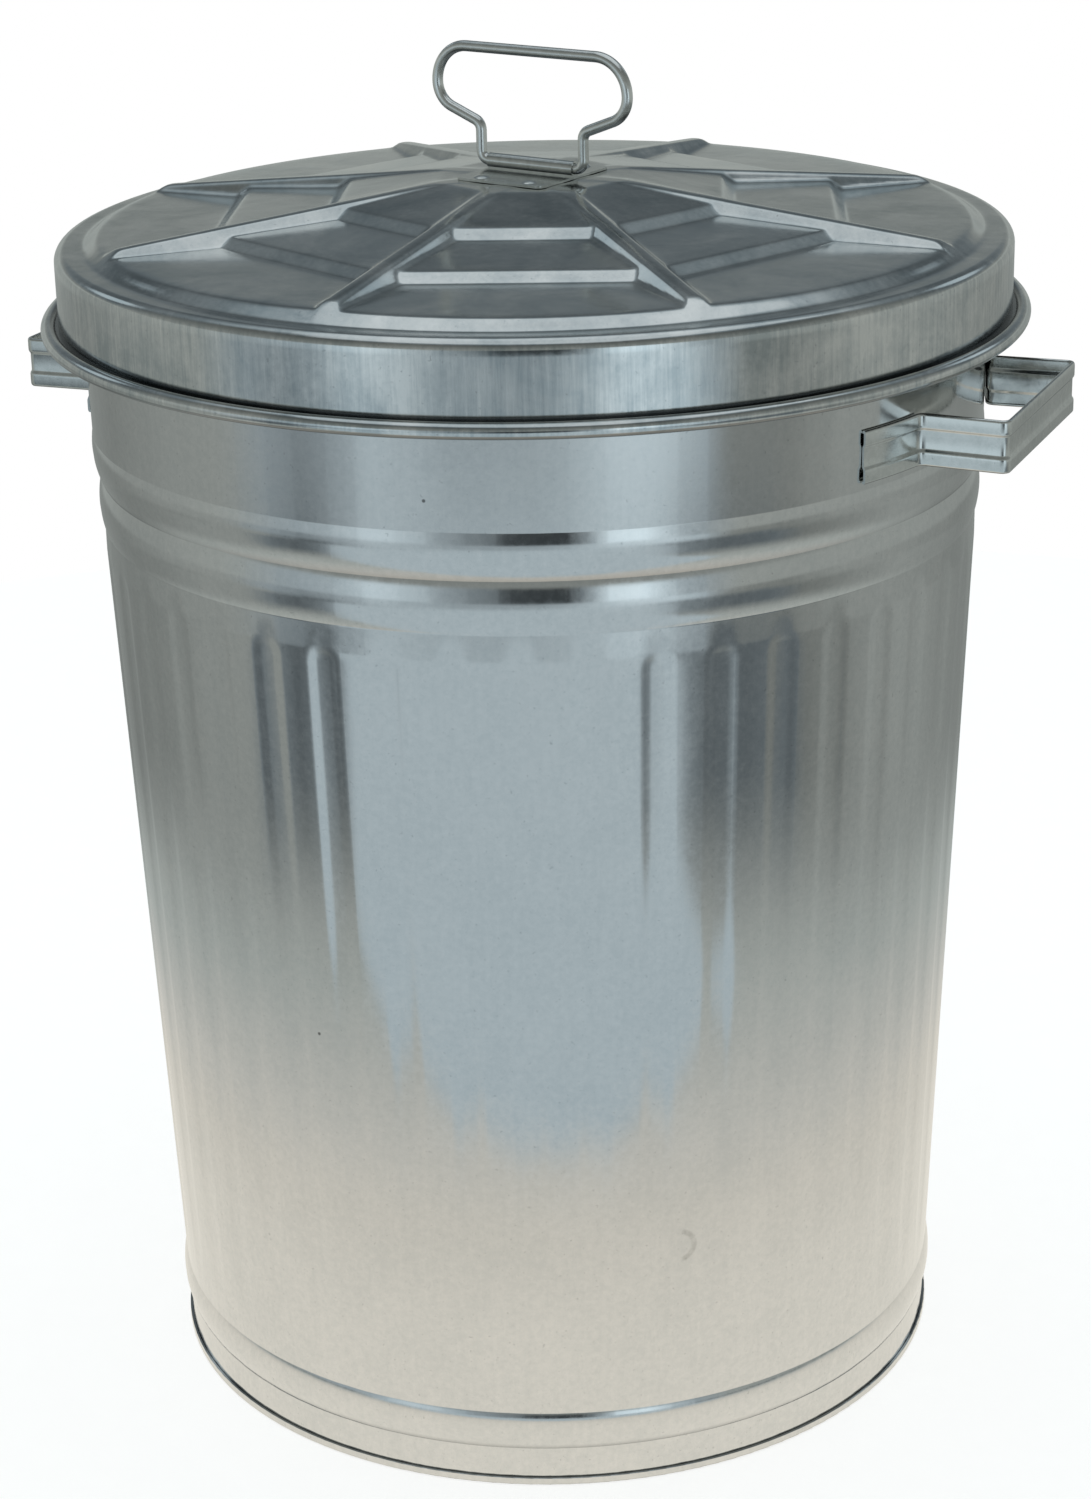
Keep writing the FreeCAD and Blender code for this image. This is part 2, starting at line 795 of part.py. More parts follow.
def lip_flange():
    """Flat ring that joins the skirt's foot to the rolled lip."""
    body = new_body("lip_flange")
    sketch = new_sketch(body, "lip_flange_section", "XZ_Plane")
    inside = "skirt_radius - lid_sheet"
    outside = "lip_ring_radius - lip_radius + lip_overlap"
    corners = [
        (inside, "skirt_foot - lid_sheet"),
        (outside, "skirt_foot - lid_sheet"),
        (outside, "skirt_foot"),
        (inside, "skirt_foot"),
    ]
    draw(sketch, corners)
    revolve(body, sketch)
    return body


def make_lid_lip_wire():
    inside = "lip_radius - lid_sheet - ring_gap"
    return wire_ring("lid_lip_wire", "lip_ring_radius", "lip_level", inside)


# ---------------------------------------------------------------- bail, strap and rivets


def along_roll(along, across):
    """World coordinates of a point given along and across the bail's roll."""
    x = "(%s) * cos(bail_turn) - (%s) * sin(bail_turn)" % (along, across)
    y = "(%s) * sin(bail_turn) + (%s) * cos(bail_turn)" % (along, across)
    return x, y


def rivet_places():
    for along in ("rivet_along", "-rivet_along"):
        for across in ("rivet_across", "-rivet_across"):
            yield along_roll(along, across)


def rivet_disc(name, place, radius, foot, height):
    disc = document.addObject("Part::Cylinder", name)
    bind(
        disc,
        Radius=radius,
        Height=height,
        Placement__Base__x=place[0],
        Placement__Base__y=place[1],
        Placement__Base__z=foot,
    )
    return disc


def rivet_holes(name):
    """Four drills through the strap plate and the hub."""
    drills = []
    for number, place in enumerate(rivet_places()):
        drill_name = "%s_%d" % (name, number)
        radius = "rivet_shank / 2 + rivet_hole_gap"
        drills.append(rivet_disc(drill_name, place, radius, "hub_top - hub_rise / 2", "hub_rise"))
    return fuse(name, drills)


def make_strap_rivets():
    """Four rivets with a domed head above the plate and a flat head under the lid."""
    rivets = []
    for number, place in enumerate(rivet_places()):
        name = "rivet_%d" % number
        under = "hub_top - lid_sheet"
        shank = rivet_disc(
            name + "_shank", place, "rivet_shank / 2", under, "lid_sheet + plate_sheet"
        )
        tail = rivet_disc(
            name + "_tail",
            place,
            "rivet_head / 2",
            under + " - rivet_head_height",
            "rivet_head_height",
        )
        head = document.addObject("Part::Sphere", name + "_head")
        bind(
            head,
            Radius="rivet_dome",
            Angle1="rivet_dome_start",
            Placement__Base__x=place[0],
            Placement__Base__y=place[1],
            Placement__Base__z="plate_top - rivet_dome + rivet_head_height",
        )
        rivets.append(fuse(name, [shank, tail, head]))
    group = document.addObject("Part::Compound", "strap_rivets")
    group.Links = rivets
    return group


def strap_plate():
    """Flat plate with rounded corners on the lid's hub."""
    plate = new_body("strap_plate")
    outline = new_sketch(plate, "plate_outline", "XY_Plane")
    bind(outline, AttachmentOffset__Base__z="hub_top + plate_sheet / 2")
    corners = []
    for x_sign, y_sign in (("-", "-"), ("", "-"), ("", ""), ("-", "")):
        corner = (x_sign + "plate_length / 2", y_sign + "plate_width / 2", "plate_corner")
        corners.append(corner)
    draw(outline, corners)
    pad_both_ways(plate, outline, "plate_sheet")
    turn(plate, "bail_turn")
    return plate


def bar_round_pins(name, radius, length):
    """Round bar on the line of the bail's pins."""
    bar = new_body(name)
    section = new_sketch(bar, name + "_section", "YZ_Plane")
    draw_circle(section, "0", "bail_level", radius)
    pad_both_ways(bar, section, length)
    turn(bar, "bail_turn")
    return bar


def strap_web():
    """Web that joins the roll to the plate."""
    web = new_body("strap_web")
    section = new_sketch(web, "web_section", "YZ_Plane")
    low = "hub_top + plate_sheet / 2"
    corners = [
        ("-roll_web / 2", low),
        ("roll_web / 2", low),
        ("roll_web / 2", "bail_level"),
        ("-roll_web / 2", "bail_level"),
    ]
    draw(section, corners)
    pad_both_ways(web, section, "roll_length")
    turn(web, "bail_turn")
    return web


def make_bail_strap():
    """Plate on the lid's hub with the roll that the bail turns in."""
    roll = bar_round_pins("strap_roll", "roll_radius", "roll_length")
    bore = bar_round_pins("strap_bore", "bore_radius", "bore_length")
    solid = fuse("strap_solid", [strap_plate(), roll, strap_web()])
    bored = cut("strap_bored", solid, bore)
    return cut("bail_strap", bored, rivet_holes("plate_rivet_holes"))


def make_lid_bail():
    """Wire bail: two pins in the roll, a leg on each, round lobes and a straight top."""
    body = new_body("lid_bail")
    path = new_sketch(body, "bail_path", "XZ_Plane")
    corners = [
        ("0", "bail_top"),
        ("bail_lobe_reach", "bail_top", "bail_lobe_radius"),
        ("bail_lobe_reach", "bail_top - bail_lobe_height", "bail_under_radius"),
        ("bail_leg_reach", "shoulder_low", "bail_shoulder_bend"),
        ("bail_leg_reach", "bail_level", "bail_foot_bend"),
        ("roll_length / 2 - bail_pin_length", "bail_level"),
    ]
    draw(path, corners, closed=False)
    section = new_sketch(body, "bail_section", "YZ_Plane")
    draw_circle(section, "0", "bail_top", "pin_radius")
    mirror(body, sweep(body, section, path), "YZ_Plane")
    turn(body, "bail_turn")
    return body


# ---------------------------------------------------------------- build and export


def check(parts):
    """Stop if any feature failed or any sub-part is not a valid solid shape."""
    for thing in document.Objects:
        state = " ".join(thing.State)
        if "Invalid" in state or "Error" in state:
            raise RuntimeError("%s did not build: %s" % (thing.Name, state))
    for part in parts:
        shape = part.Shape
        if shape.isNull() or not shape.isValid() or not shape.Solids:
            raise RuntimeError("%s is not a valid solid" % part.Label)


def export(parts):
    os.makedirs("parts", exist_ok=True)
    for part in parts:
        part.Shape.exportStep("parts/%s.step" % part.Label)
        solids = len(part.Shape.Solids)
        print("%-20s %d solid(s), %.0f mm3" % (part.Label, solids, part.Shape.Volume))


fill_sheet()
sub_parts = [
    make_body_shell(),
    make_bottom_pan(),
    make_rim_wire(),
    make_side_handle("side_handle_right", 0),
    make_side_handle("side_handle_left", 180),
    make_lid_shell(),
    make_lid_lip_wire(),
    make_bail_strap(),
    make_strap_rivets(),
    make_lid_bail(),
]
document.recompute()
check(sub_parts)
export(sub_parts)
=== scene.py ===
import json
import math

import bpy
import numpy as np
from mathutils import Matrix, Vector

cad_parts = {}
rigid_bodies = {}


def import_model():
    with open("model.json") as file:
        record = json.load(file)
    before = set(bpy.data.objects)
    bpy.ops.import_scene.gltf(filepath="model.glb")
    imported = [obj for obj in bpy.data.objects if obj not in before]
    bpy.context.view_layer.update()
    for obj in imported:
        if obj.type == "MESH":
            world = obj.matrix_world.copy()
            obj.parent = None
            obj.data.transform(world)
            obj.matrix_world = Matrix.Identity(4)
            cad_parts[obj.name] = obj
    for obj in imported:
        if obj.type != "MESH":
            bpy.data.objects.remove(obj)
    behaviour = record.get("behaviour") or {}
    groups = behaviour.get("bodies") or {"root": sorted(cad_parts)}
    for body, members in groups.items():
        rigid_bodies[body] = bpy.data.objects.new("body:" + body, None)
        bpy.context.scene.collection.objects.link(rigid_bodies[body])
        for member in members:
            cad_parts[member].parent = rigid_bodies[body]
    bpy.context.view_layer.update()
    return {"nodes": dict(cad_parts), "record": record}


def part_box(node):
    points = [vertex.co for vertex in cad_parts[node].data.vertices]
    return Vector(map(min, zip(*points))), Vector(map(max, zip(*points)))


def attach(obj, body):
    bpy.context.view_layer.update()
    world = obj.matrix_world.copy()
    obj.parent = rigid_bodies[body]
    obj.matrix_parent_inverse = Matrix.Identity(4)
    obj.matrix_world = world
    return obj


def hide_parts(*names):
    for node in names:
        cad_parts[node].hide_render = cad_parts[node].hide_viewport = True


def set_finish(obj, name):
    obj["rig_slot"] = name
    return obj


# Galvanized trash can with a lift-off lid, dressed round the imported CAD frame. Metres, Z up.

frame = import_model()

TURN = 2 * math.pi
MM = 0.001
SHEET = 0.8 * MM
FRONT_ANGLE = math.radians(-66.64)  # the side of the can that faces the camera


def low_high(node):
    """Corners of a CAD node's box."""
    low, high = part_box(node)
    return np.array(low), np.array(high)


# ---------------------------------------------------------------- mesh helpers


def new_piece(name, vertices, faces, body, slot, replaced, smooth_angle=40):
    """Make a mesh object that stands for CAD nodes and rides on their body."""
    mesh = bpy.data.meshes.new(name)
    mesh.from_pydata([tuple(v) for v in vertices], [], faces)
    mesh.validate()
    mesh.shade_smooth()
    piece = bpy.data.objects.new(name, mesh)
    bpy.context.scene.collection.objects.link(piece)
    mesh.set_sharp_from_angle(angle=math.radians(smooth_angle))
    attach(piece, body)
    for node in replaced:
        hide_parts(node)
    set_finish(piece, slot)


def grid_faces(rows, columns, close_rows=False):
    """Quads of a grid of points stored row by row, whose columns go all the way round."""
    faces = []
    for i in range(rows if close_rows else rows - 1):
        row, following = i * columns, (i + 1) % rows * columns
        for j in range(columns):
            k = (j + 1) % columns
            faces.append((row + j, row + k, following + k, following + j))
    return faces


def tube_faces(rows, columns):
    """Quads of a tube and a face across each of its ends."""
    last = (rows - 1) * columns
    ends = [tuple(reversed(range(columns))), tuple(range(last, last + columns))]
    return grid_faces(rows, columns) + ends


def turned(radii, angles, heights):
    """Points at these distances from the axis, angles and heights."""
    radii, angles, heights = np.broadcast_arrays(radii, angles, heights)
    return np.stack([radii * np.cos(angles), radii * np.sin(angles), heights], -1)


def arc_points(centre, radius, first, last, count):
    """Points on an arc, angles in degrees."""
    angles = np.radians(np.linspace(first, last, count))
    return np.stack([centre[0] + radius * np.cos(angles), centre[1] + radius * np.sin(angles)], 1)


def bulge_points(start, end, radius, count):
    """Points between the ends of an arc that bulges to the right of the way from start to end.

    They lie close together near the ends, so that the creases there stay crisp.
    """
    start, end = np.array(start), np.array(end)
    chord = end - start
    length = np.linalg.norm(chord)
    left = np.array([-chord[1], chord[0]]) / length
    centre = (start + end) / 2 + left * math.sqrt(radius ** 2 - length ** 2 / 4)
    first = math.atan2(*(start - centre)[::-1])
    last = math.atan2(*(end - centre)[::-1])
    shares = (1 - np.cos(np.linspace(0, math.pi, count + 2)[1:-1])) / 2
    angles = first + (last - first) * shares
    return [tuple(centre + radius * np.array([math.cos(a), math.sin(a)])) for a in angles]


def soft_ramp(x, ease):
    """Zero below 0 and x above it, eased over the bend."""
    return (x + np.sqrt(x * x + ease * ease)) / 2


def soft_max(a, b, ease):
    return b + soft_ramp(a - b, ease)


def soft_min(a, b, ease):
    return b - soft_ramp(b - a, ease)


def sweep(points, section, across):
    """Carry a flat section along a path. Its second axis keeps the direction across."""
    points = np.array(points)
    ways = np.gradient(points, axis=0)
    ways /= np.linalg.norm(ways, axis=1)[:, None]
    vertices = []
    for point, way in zip(points, ways):
        out = np.cross(across, way)
        out /= np.linalg.norm(out)
        for u, v in section:
            vertices.append(point + out * u + np.array(across) * v)
    return vertices, tube_faces(len(points), len(section))


def rounded_path(corners, step):
    """Points along straight runs joined by arcs. A corner is (x, y, radius)."""
    corners = [np.array(c, float) for c in corners]
    points = [corners[0][:2]]
    for before, corner, after in zip(corners, corners[1:], corners[2:]):
        arrive = corner[:2] - before[:2]
        arrive /= np.linalg.norm(arrive)
        leave = after[:2] - corner[:2]
        leave /= np.linalg.norm(leave)
        bend = math.acos(np.clip(arrive @ leave, -1, 1))
        reach = corner[2] * math.tan(bend / 2)
        side = np.sign(arrive[0] * leave[1] - arrive[1] * leave[0])
        first = corner[:2] - arrive * reach
        centre = first + side * np.array([-arrive[1], arrive[0]]) * corner[2]
        arm = first - centre
        count = max(4, int(corner[2] * bend / step))
        for turn in np.linspace(0, side * bend, count + 1):
            c, s = math.cos(turn), math.sin(turn)
            points.append(centre + np.array([c * arm[0] - s * arm[1], s * arm[0] + c * arm[1]]))
    points.append(corners[-1][:2])
    return np.array(points)


# ---------------------------------------------------------------- can wall

wall_low, wall_high = low_high("body_shell")
BASE_RADIUS = 180 * MM
BAND_TOP = 18 * MM
BASE_BULGE = 23 * MM
FLUTED_START = 36.5 * MM
FLUTED_RADIUS = 180.9 * MM
NECK_START = 392 * MM
NECK_RADIUS = 195.7 * MM
LOWER_BEAD = 404 * MM
LOWER_BULGE = 39 * MM
UPPER_BEAD = 426.5 * MM
UPPER_BEAD_RADIUS = 195.9 * MM
UPPER_BULGE = 34 * MM
UPPER_WALL = 447 * MM
UPPER_WALL_RADIUS = 198.5 * MM
CREASE = 0.35 * MM  # how far from a crease the wall is straight again
CURL_RADIUS = 4 * MM
CURL_END = -130  # degrees
CURL_ROWS = 22
WALL_TOP = wall_high[2] - CURL_RADIUS
WALL_TOP_RADIUS = 199.8 * MM

FLUTES = 44
FLUTE_TURN = math.radians(-53.04)
FLUTE_DEPTH = 0.62 * MM
FLUTE_LOW_DEPTH = 0.55 * FLUTE_DEPTH
FLUTE_FADES_AT = (170 * MM, 330 * MM)  # the low depth up to the first height, full from the second
FLUTE_FLOOR = 2.2 * MM
FLUTE_EDGE = 8.2 * MM
FLUTE_LOW = 68 * MM
FLUTE_HIGH = 394.5 * MM
FLUTE_HIGH_SLOPE = 0.75  # steepness of the flute's upper end, as a share of its sides'
FLUTE_LOW_SLOPE = 0.2  # the same at the lower end, where the flute dies away

SEAM_TURN = math.radians(114.66)
SEAM_HALF = 4 * MM
SEAM_RISE = 0.8 * MM
SEAM_SINK = 0.3 * MM
SEAM_FOOT = 5 * MM
SEAM_END = (WALL_TOP_RADIUS - 0.1 * MM, WALL_TOP - 6.5 * MM)
# (along the wall, out of it)
SEAM_SECTION = [
    (-SEAM_HALF, -SEAM_SINK), (-SEAM_HALF, SEAM_RISE * 0.6), (-SEAM_HALF + 0.5 * MM, SEAM_RISE),
    (SEAM_HALF - 0.3 * MM, SEAM_RISE), (SEAM_HALF, SEAM_RISE * 0.7), (SEAM_HALF, -SEAM_SINK),
]


def wall_profile():
    """(radius, height) of the wall's outer face from its foot to where its top starts to curl."""
    base = (BASE_RADIUS, BAND_TOP)
    fluted = (FLUTED_RADIUS, FLUTED_START)
    lower = (NECK_RADIUS, LOWER_BEAD)
    upper = (UPPER_BEAD_RADIUS, UPPER_BEAD)
    straight = (UPPER_WALL_RADIUS, UPPER_WALL)
    flute_top = FLUTE_HIGH - FLUTE_EDGE * 1.6

    profile = [(BASE_RADIUS, wall_low[2]), (BASE_RADIUS, BAND_TOP - CREASE), base]
    profile += bulge_points(base, fluted, BASE_BULGE, 15)
    profile += [fluted, (FLUTED_RADIUS, FLUTED_START + CREASE)]
    flare = (NECK_RADIUS - FLUTED_RADIUS) / (NECK_START - FLUTED_START)
    for z in np.concatenate([
        np.linspace(FLUTED_START + CREASE, FLUTE_LOW + FLUTE_EDGE, 15)[1:],
        np.linspace(FLUTE_LOW + FLUTE_EDGE, flute_top, 10)[1:],
        np.linspace(flute_top, FLUTE_HIGH, 15)[1:],
    ]):
        profile.append((min(NECK_RADIUS, FLUTED_RADIUS + flare * (z - FLUTED_START)), z))
    profile += [(NECK_RADIUS, LOWER_BEAD - CREASE), lower]
    profile += bulge_points(lower, upper, LOWER_BULGE, 17) + [upper]
    profile += bulge_points(upper, straight, UPPER_BULGE, 17) + [straight]
    for share in (0.005, 0.2, 0.5, 0.8):
        profile.append((
            UPPER_WALL_RADIUS + share * (WALL_TOP_RADIUS - UPPER_WALL_RADIUS),
            UPPER_WALL + share * (WALL_TOP - UPPER_WALL),
        ))
    return profile


def flute_columns():
    """Distances of the wall's columns from a flute's middle line, and the angles of them all."""
    side = np.linspace(FLUTE_FLOOR, FLUTE_EDGE, 5)
    offsets = np.concatenate([-side[::-1], [0], side])
    middles = FLUTE_TURN + np.arange(FLUTES) * TURN / FLUTES
    angles = middles[:, None] + offsets[None, :] * 2 / (FLUTED_RADIUS + NECK_RADIUS)
    return np.tile(offsets, FLUTES), angles.ravel()


def flute_press(across, heights):
    """How far the sheet is pressed inward at each height and distance from a flute's middle."""
    middle = (FLUTE_LOW + FLUTE_HIGH) / 2
    half = (FLUTE_HIGH - FLUTE_LOW) / 2 - FLUTE_EDGE
    above = np.maximum(heights[:, None] - middle - half, 0)
    below = np.maximum(middle - half - heights[:, None], 0)
    along = above * FLUTE_HIGH_SLOPE + below * FLUTE_LOW_SLOPE
    reach = np.sqrt(across[None, :] ** 2 + along ** 2)
    share = np.clip((reach - FLUTE_FLOOR) / (FLUTE_EDGE - FLUTE_FLOOR), 0, 1)
    depth = np.interp(heights, FLUTE_FADES_AT, (FLUTE_LOW_DEPTH, FLUTE_DEPTH))
    return depth[:, None] * (1 - share * share * (3 - 2 * share))


def make_wall():
    """Fluted wall of two faces, with its top edge rolled outward."""
    outer = np.array(wall_profile())
    centre = (WALL_TOP_RADIUS - SHEET + CURL_RADIUS, WALL_TOP)
    curl = arc_points(centre, CURL_RADIUS, 180, CURL_END, CURL_ROWS)
    curl_back = arc_points(centre, CURL_RADIUS - SHEET, CURL_END, 180, CURL_ROWS)
    every_other = sorted(set(range(0, len(outer), 2)) | {len(outer) - 1})
    inner = outer[every_other][::-1] - np.array([SHEET, 0])
    loop = np.concatenate([outer, curl_back[::-1], curl[::-1], inner])
    fluted = np.repeat([1, 0, 1], [len(outer), len(curl) * 2, len(inner)])
    across, angles = flute_columns()
    radii, heights = loop[:, 0][:, None], loop[:, 1][:, None]
    radii = radii - flute_press(across, loop[:, 1]) * fluted[:, None]
    vertices = turned(radii, angles, heights).reshape(-1, 3)
    faces = grid_faces(len(loop), len(angles), close_rows=True)
    new_piece("can_wall", vertices, faces, "can", "galvanized_can", ["body_shell"])


def make_seam():
    """Lock seam down the back of the wall."""
    outer = [(BASE_RADIUS, SEAM_FOOT)]
    outer += [point for point in wall_profile() if point[1] > SEAM_FOOT] + [SEAM_END]
    c, s = math.cos(SEAM_TURN), math.sin(SEAM_TURN)
    vertices = []
    for r, z in outer:
        for u, v in SEAM_SECTION:
            vertices.append(((r + v) * c - u * s, (r + v) * s + u * c, z))
    faces = tube_faces(len(outer), len(SEAM_SECTION))
    new_piece("wall_seam", vertices, faces, "can", "galvanized_can", [])


# ---------------------------------------------------------------- lid

_, lid_high = low_high("lid_shell")
HUB_TOP = lid_high[2]
HUB_EASE_DROP = 0.05 * MM
LEDGE = HUB_TOP - 23.5 * MM
SKIRT_RADIUS = 209.9 * MM
BORDER_RADIUS = 197 * MM
BORDER_SLOPE = 0.75
SHOULDER = 5 * MM
SHOULDER_END = 80  # degrees
SHOULDER_ROWS = 9
SKIRT_FOOT = LEDGE - 32.6 * MM
LIP_RADIUS = 3.5 * MM
LIP_CENTRE = (SKIRT_RADIUS + 4.4 * MM, SKIRT_FOOT - 1.9 * MM)
LIP_START, LIP_BACK_START, LIP_END = 147, 156, -175  # degrees
LIP_ROWS = 34
LID_TURN = math.radians(-2.14)
PRESS_EASE = 1.0 * MM
RIBS = 8
RIB_HALF = 4.2 * MM
RIB_END_HALF = 3.0 * MM
RIB_START = 42 * MM
RIB_END = 205 * MM
RIB_FALL = 0.11
RIB_WALL = math.tan(math.radians(50))
# (distance from the axis, height) of the stepped facet's bends
TIERS = [
    (39 * MM, HUB_TOP),
    (83 * MM, HUB_TOP - 6.7 * MM),
    (88.5 * MM, HUB_TOP - 10.7 * MM),
    (131.5 * MM, HUB_TOP - 14.0 * MM),
    (137 * MM, HUB_TOP - 18.0 * MM),
    (191 * MM, HUB_TOP - 19.2 * MM),
]

# The crown's mesh, in mm: rings on the facets, either side of each bend, on the way from an
# eight-sided ring to a round one, and over the round border, then columns beside each rib.
FACET_RINGS = (12, 24, 33, 48, 55, 62, 69, 75, 96, 104, 112, 120, 144, 150, 156, 162)
BEND_RINGS = (-3.5, -2, -1.1, -0.4, 0.4, 1.1, 2, 3.5)
ROUNDING_RINGS = ((171.5, 0.35), (178, 0.7), (182.5, 0.9))
BORDER_RINGS = (
    184.2, 185.6, 187, 188.6, 189.8, 190.6, 191.4, 192.2, 193.2, 194.6, 195.8, 196.6, 197.4, 198.2,
    199.4, 201.5, 205,
)
RIB_COLUMNS = (0, 1.6, 2.7, 3.3, 3.9, 4.5, 5.2, 6.2, 7.5, 9, 10.6, 12.4, 14.5)
FULL_RIB_RING = 40 * MM  # nearer to the axis the columns draw together


def facet_height(d):
    """Height of the stepped facet at a distance along its own direction."""
    height = np.full_like(d, TIERS[0][1])
    slope = 0
    for (d0, z0), (d1, z1) in zip(TIERS, TIERS[1:]):
        following = (z1 - z0) / (d1 - d0)
        height = height + (following - slope) * soft_ramp(d - d0, PRESS_EASE)
        slope = following
    return height


def crown_height(x, y):
    """Height of the lid's pressed crown."""
    radius = np.hypot(x, y)
    angle = np.arctan2(y, x) - LID_TURN
    sector = TURN / RIBS
    from_rib = (angle + sector / 2) % sector - sector / 2
    aside = np.abs(radius * np.sin(from_rib))
    along = radius * np.cos(sector / 2 - np.abs(from_rib))
    width = RIB_HALF + (RIB_END_HALF - RIB_HALF) * np.clip(radius / RIB_END, 0, 1)
    top = HUB_TOP - RIB_FALL * (radius - RIB_START)
    rib = top - RIB_WALL * soft_ramp(aside - width, PRESS_EASE)
    height = soft_max(facet_height(along), rib, PRESS_EASE)
    height = soft_min(height, HUB_TOP - HUB_EASE_DROP, PRESS_EASE / 2)
    border = LEDGE + BORDER_SLOPE * soft_ramp(BORDER_RADIUS - radius, PRESS_EASE)
    return np.minimum(soft_min(height, border, PRESS_EASE), HUB_TOP)


def facet_rings():
    """Distances of the eight-sided rings, close together at the bends."""
    rings = [d * MM for d in FACET_RINGS]
    for d, _ in TIERS[:-1]:
        rings += [d + shift * MM for shift in BEND_RINGS]
    kept = []
    for ring in sorted(rings):
        if not kept or ring - kept[-1] > 0.3 * MM:
            kept.append(ring)
    return kept


def half_sector(ring, circle):
    """Angles from a rib's middle line to the facet's middle, and the radius at each.

    ring is the distance from the axis; circle goes from 0, an eight-sided ring, to 1, a round one.
    """
    half = TURN / RIBS / 2
    radius_at_rib = ring / math.cos(half) * (1 - circle) + ring * circle
    offsets = np.array(RIB_COLUMNS) * MM * min(1, ring / FULL_RIB_RING)
    angles = np.arcsin(offsets / radius_at_rib)
    middle = np.linspace(angles[-1], half, 12)[1:]
    angles = np.concatenate([angles, middle])
    eight = ring / np.cos(half - angles)
    return angles, eight * (1 - circle) + ring * circle


def ring_points(ring, circle):
    """Angles and radii of one ring of the crown, all the way round."""
    angles, radii = half_sector(ring, circle)
    angles = np.concatenate([angles[:-1], TURN / RIBS - angles[:0:-1]])
    radii = np.concatenate([radii[:-1], radii[:0:-1]])
    starts = LID_TURN + np.arange(RIBS) * TURN / RIBS
    return (starts[:, None] + angles).ravel(), np.tile(radii, RIBS)


def make_lid():
    """Pressed crown, shoulder, skirt and rolled lip, then back up inside."""
    rings = [(d, 0.0) for d in facet_rings()]
    rings += [(r * MM, circle) for r, circle in ROUNDING_RINGS]
    rings += [(r * MM, 1.0) for r in BORDER_RINGS]
    crown = []
    for ring, circle in rings:
        angles, radii = ring_points(ring, circle)
        row = turned(radii, angles, 0.0)
        row[:, 2] = crown_height(row[:, 0], row[:, 1])
        crown.append(row)

    bend = (SKIRT_RADIUS - SHOULDER, LEDGE - SHOULDER)
    rim = np.concatenate([
        arc_points(bend, SHOULDER, SHOULDER_END, 0, SHOULDER_ROWS),
        [(SKIRT_RADIUS, z) for z in np.linspace(LEDGE - SHOULDER - 2 * MM, SKIRT_FOOT, 5)],
        arc_points(LIP_CENTRE, LIP_RADIUS, LIP_START, LIP_END, LIP_ROWS),
        arc_points(LIP_CENTRE, LIP_RADIUS - SHEET, LIP_END, LIP_BACK_START, LIP_ROWS),
        [(SKIRT_RADIUS - SHEET, z) for z in (SKIRT_FOOT - SHEET, LEDGE - SHOULDER)],
        arc_points(bend, SHOULDER - SHEET, 0, SHOULDER_END, SHOULDER_ROWS),
    ])
    side = [turned(r, angles, z) for r, z in rim]
    below = [row - np.array([0, 0, SHEET]) for row in reversed(crown)]
    rows = crown + side + below

    columns = len(angles)
    faces = grid_faces(len(rows), columns)
    tip = np.array([0, 0, crown_height(np.zeros(1), np.zeros(1))[0]])
    vertices = list(np.concatenate(rows)) + [tip, tip - np.array([0, 0, SHEET])]
    top, bottom = len(vertices) - 2, len(vertices) - 1
    last = (len(rows) - 1) * columns
    for j in range(columns):
        following = (j + 1) % columns
        faces.append((top, following, j))
        faces.append((bottom, last + j, last + following))
    faces = [tuple(reversed(face)) for face in faces]
    new_piece("lid_pressing", vertices, faces, "lid", "galvanized_lid", ["lid_shell"])


# ---------------------------------------------------------------- side handles

handle_low, handle_high = low_high("side_handle_right")
STRAP_HALF = (handle_high[2] - handle_low[2]) / 2
STRAP_LEVEL = (handle_high[2] + handle_low[2]) / 2
STRAP_SHEET = 1 * MM
SINK = 0.8 * MM
GRIP_FACE = handle_high[0]
GRIP_HALF = 54.4 * MM
GRIP_BEND = 4 * MM
LEG_HALF = 52.5 * MM
LEG_BEND = 3 * MM
LEG_SPLAY = math.radians(2)
FOOT_RADIUS = GRIP_FACE - 31.2 * MM
FOOT_END = math.radians(25)
FOOT_LEAD = 2 * MM
STRAP_STEP = 0.7 * MM


def strap_section():
    """Soft-edged section: (depth behind the face, height) all round."""
    edge = STRAP_HALF / MM
    back = SINK + STRAP_SHEET
    upper = [
        (SINK, 3.6), (SINK * 0.85, 4.2), (SINK * 0.3, 4.8), (0.02 * MM, 5.5), (0, 6.2),
        (0, edge - 1.4), (0.12 * MM, edge - 0.65), (0.5 * MM, edge - 0.15), (0.95 * MM, edge),
        (1.4 * MM, edge - 0.1), (back, edge - 0.5), (back, edge - 1.1), (STRAP_SHEET, edge - 1.3),
        (STRAP_SHEET, 6.0), (STRAP_SHEET + SINK * 0.2, 5.2), (back - SINK * 0.2, 4.4), (back, 3.7),
    ]
    section = [(d, z * MM) for d, z in upper]
    return section + [(d, -z) for d, z in reversed(section)]


def handle_path():
    """Outer face of the whole handle seen from above."""
    bend = math.asin(LEG_HALF / FOOT_RADIUS) + LEG_SPLAY
    middle = (FOOT_END + bend) / 2
    far = FOOT_RADIUS / math.cos((FOOT_END - bend) / 2)
    across = (FOOT_RADIUS - LEG_HALF * math.sin(bend)) / math.cos(bend)
    half = [
        (GRIP_FACE, GRIP_HALF, GRIP_BEND),
        (across, LEG_HALF, LEG_BEND),
        (far * math.cos(middle), far * math.sin(middle), FOOT_RADIUS),
        (
            FOOT_RADIUS * math.cos(FOOT_END) - FOOT_LEAD * math.sin(FOOT_END),
            FOOT_RADIUS * math.sin(FOOT_END) + FOOT_LEAD * math.cos(FOOT_END),
            0,
        ),
    ]
    corners = [(x, -y, r) for x, y, r in reversed(half)] + half
    return rounded_path(corners, STRAP_STEP)


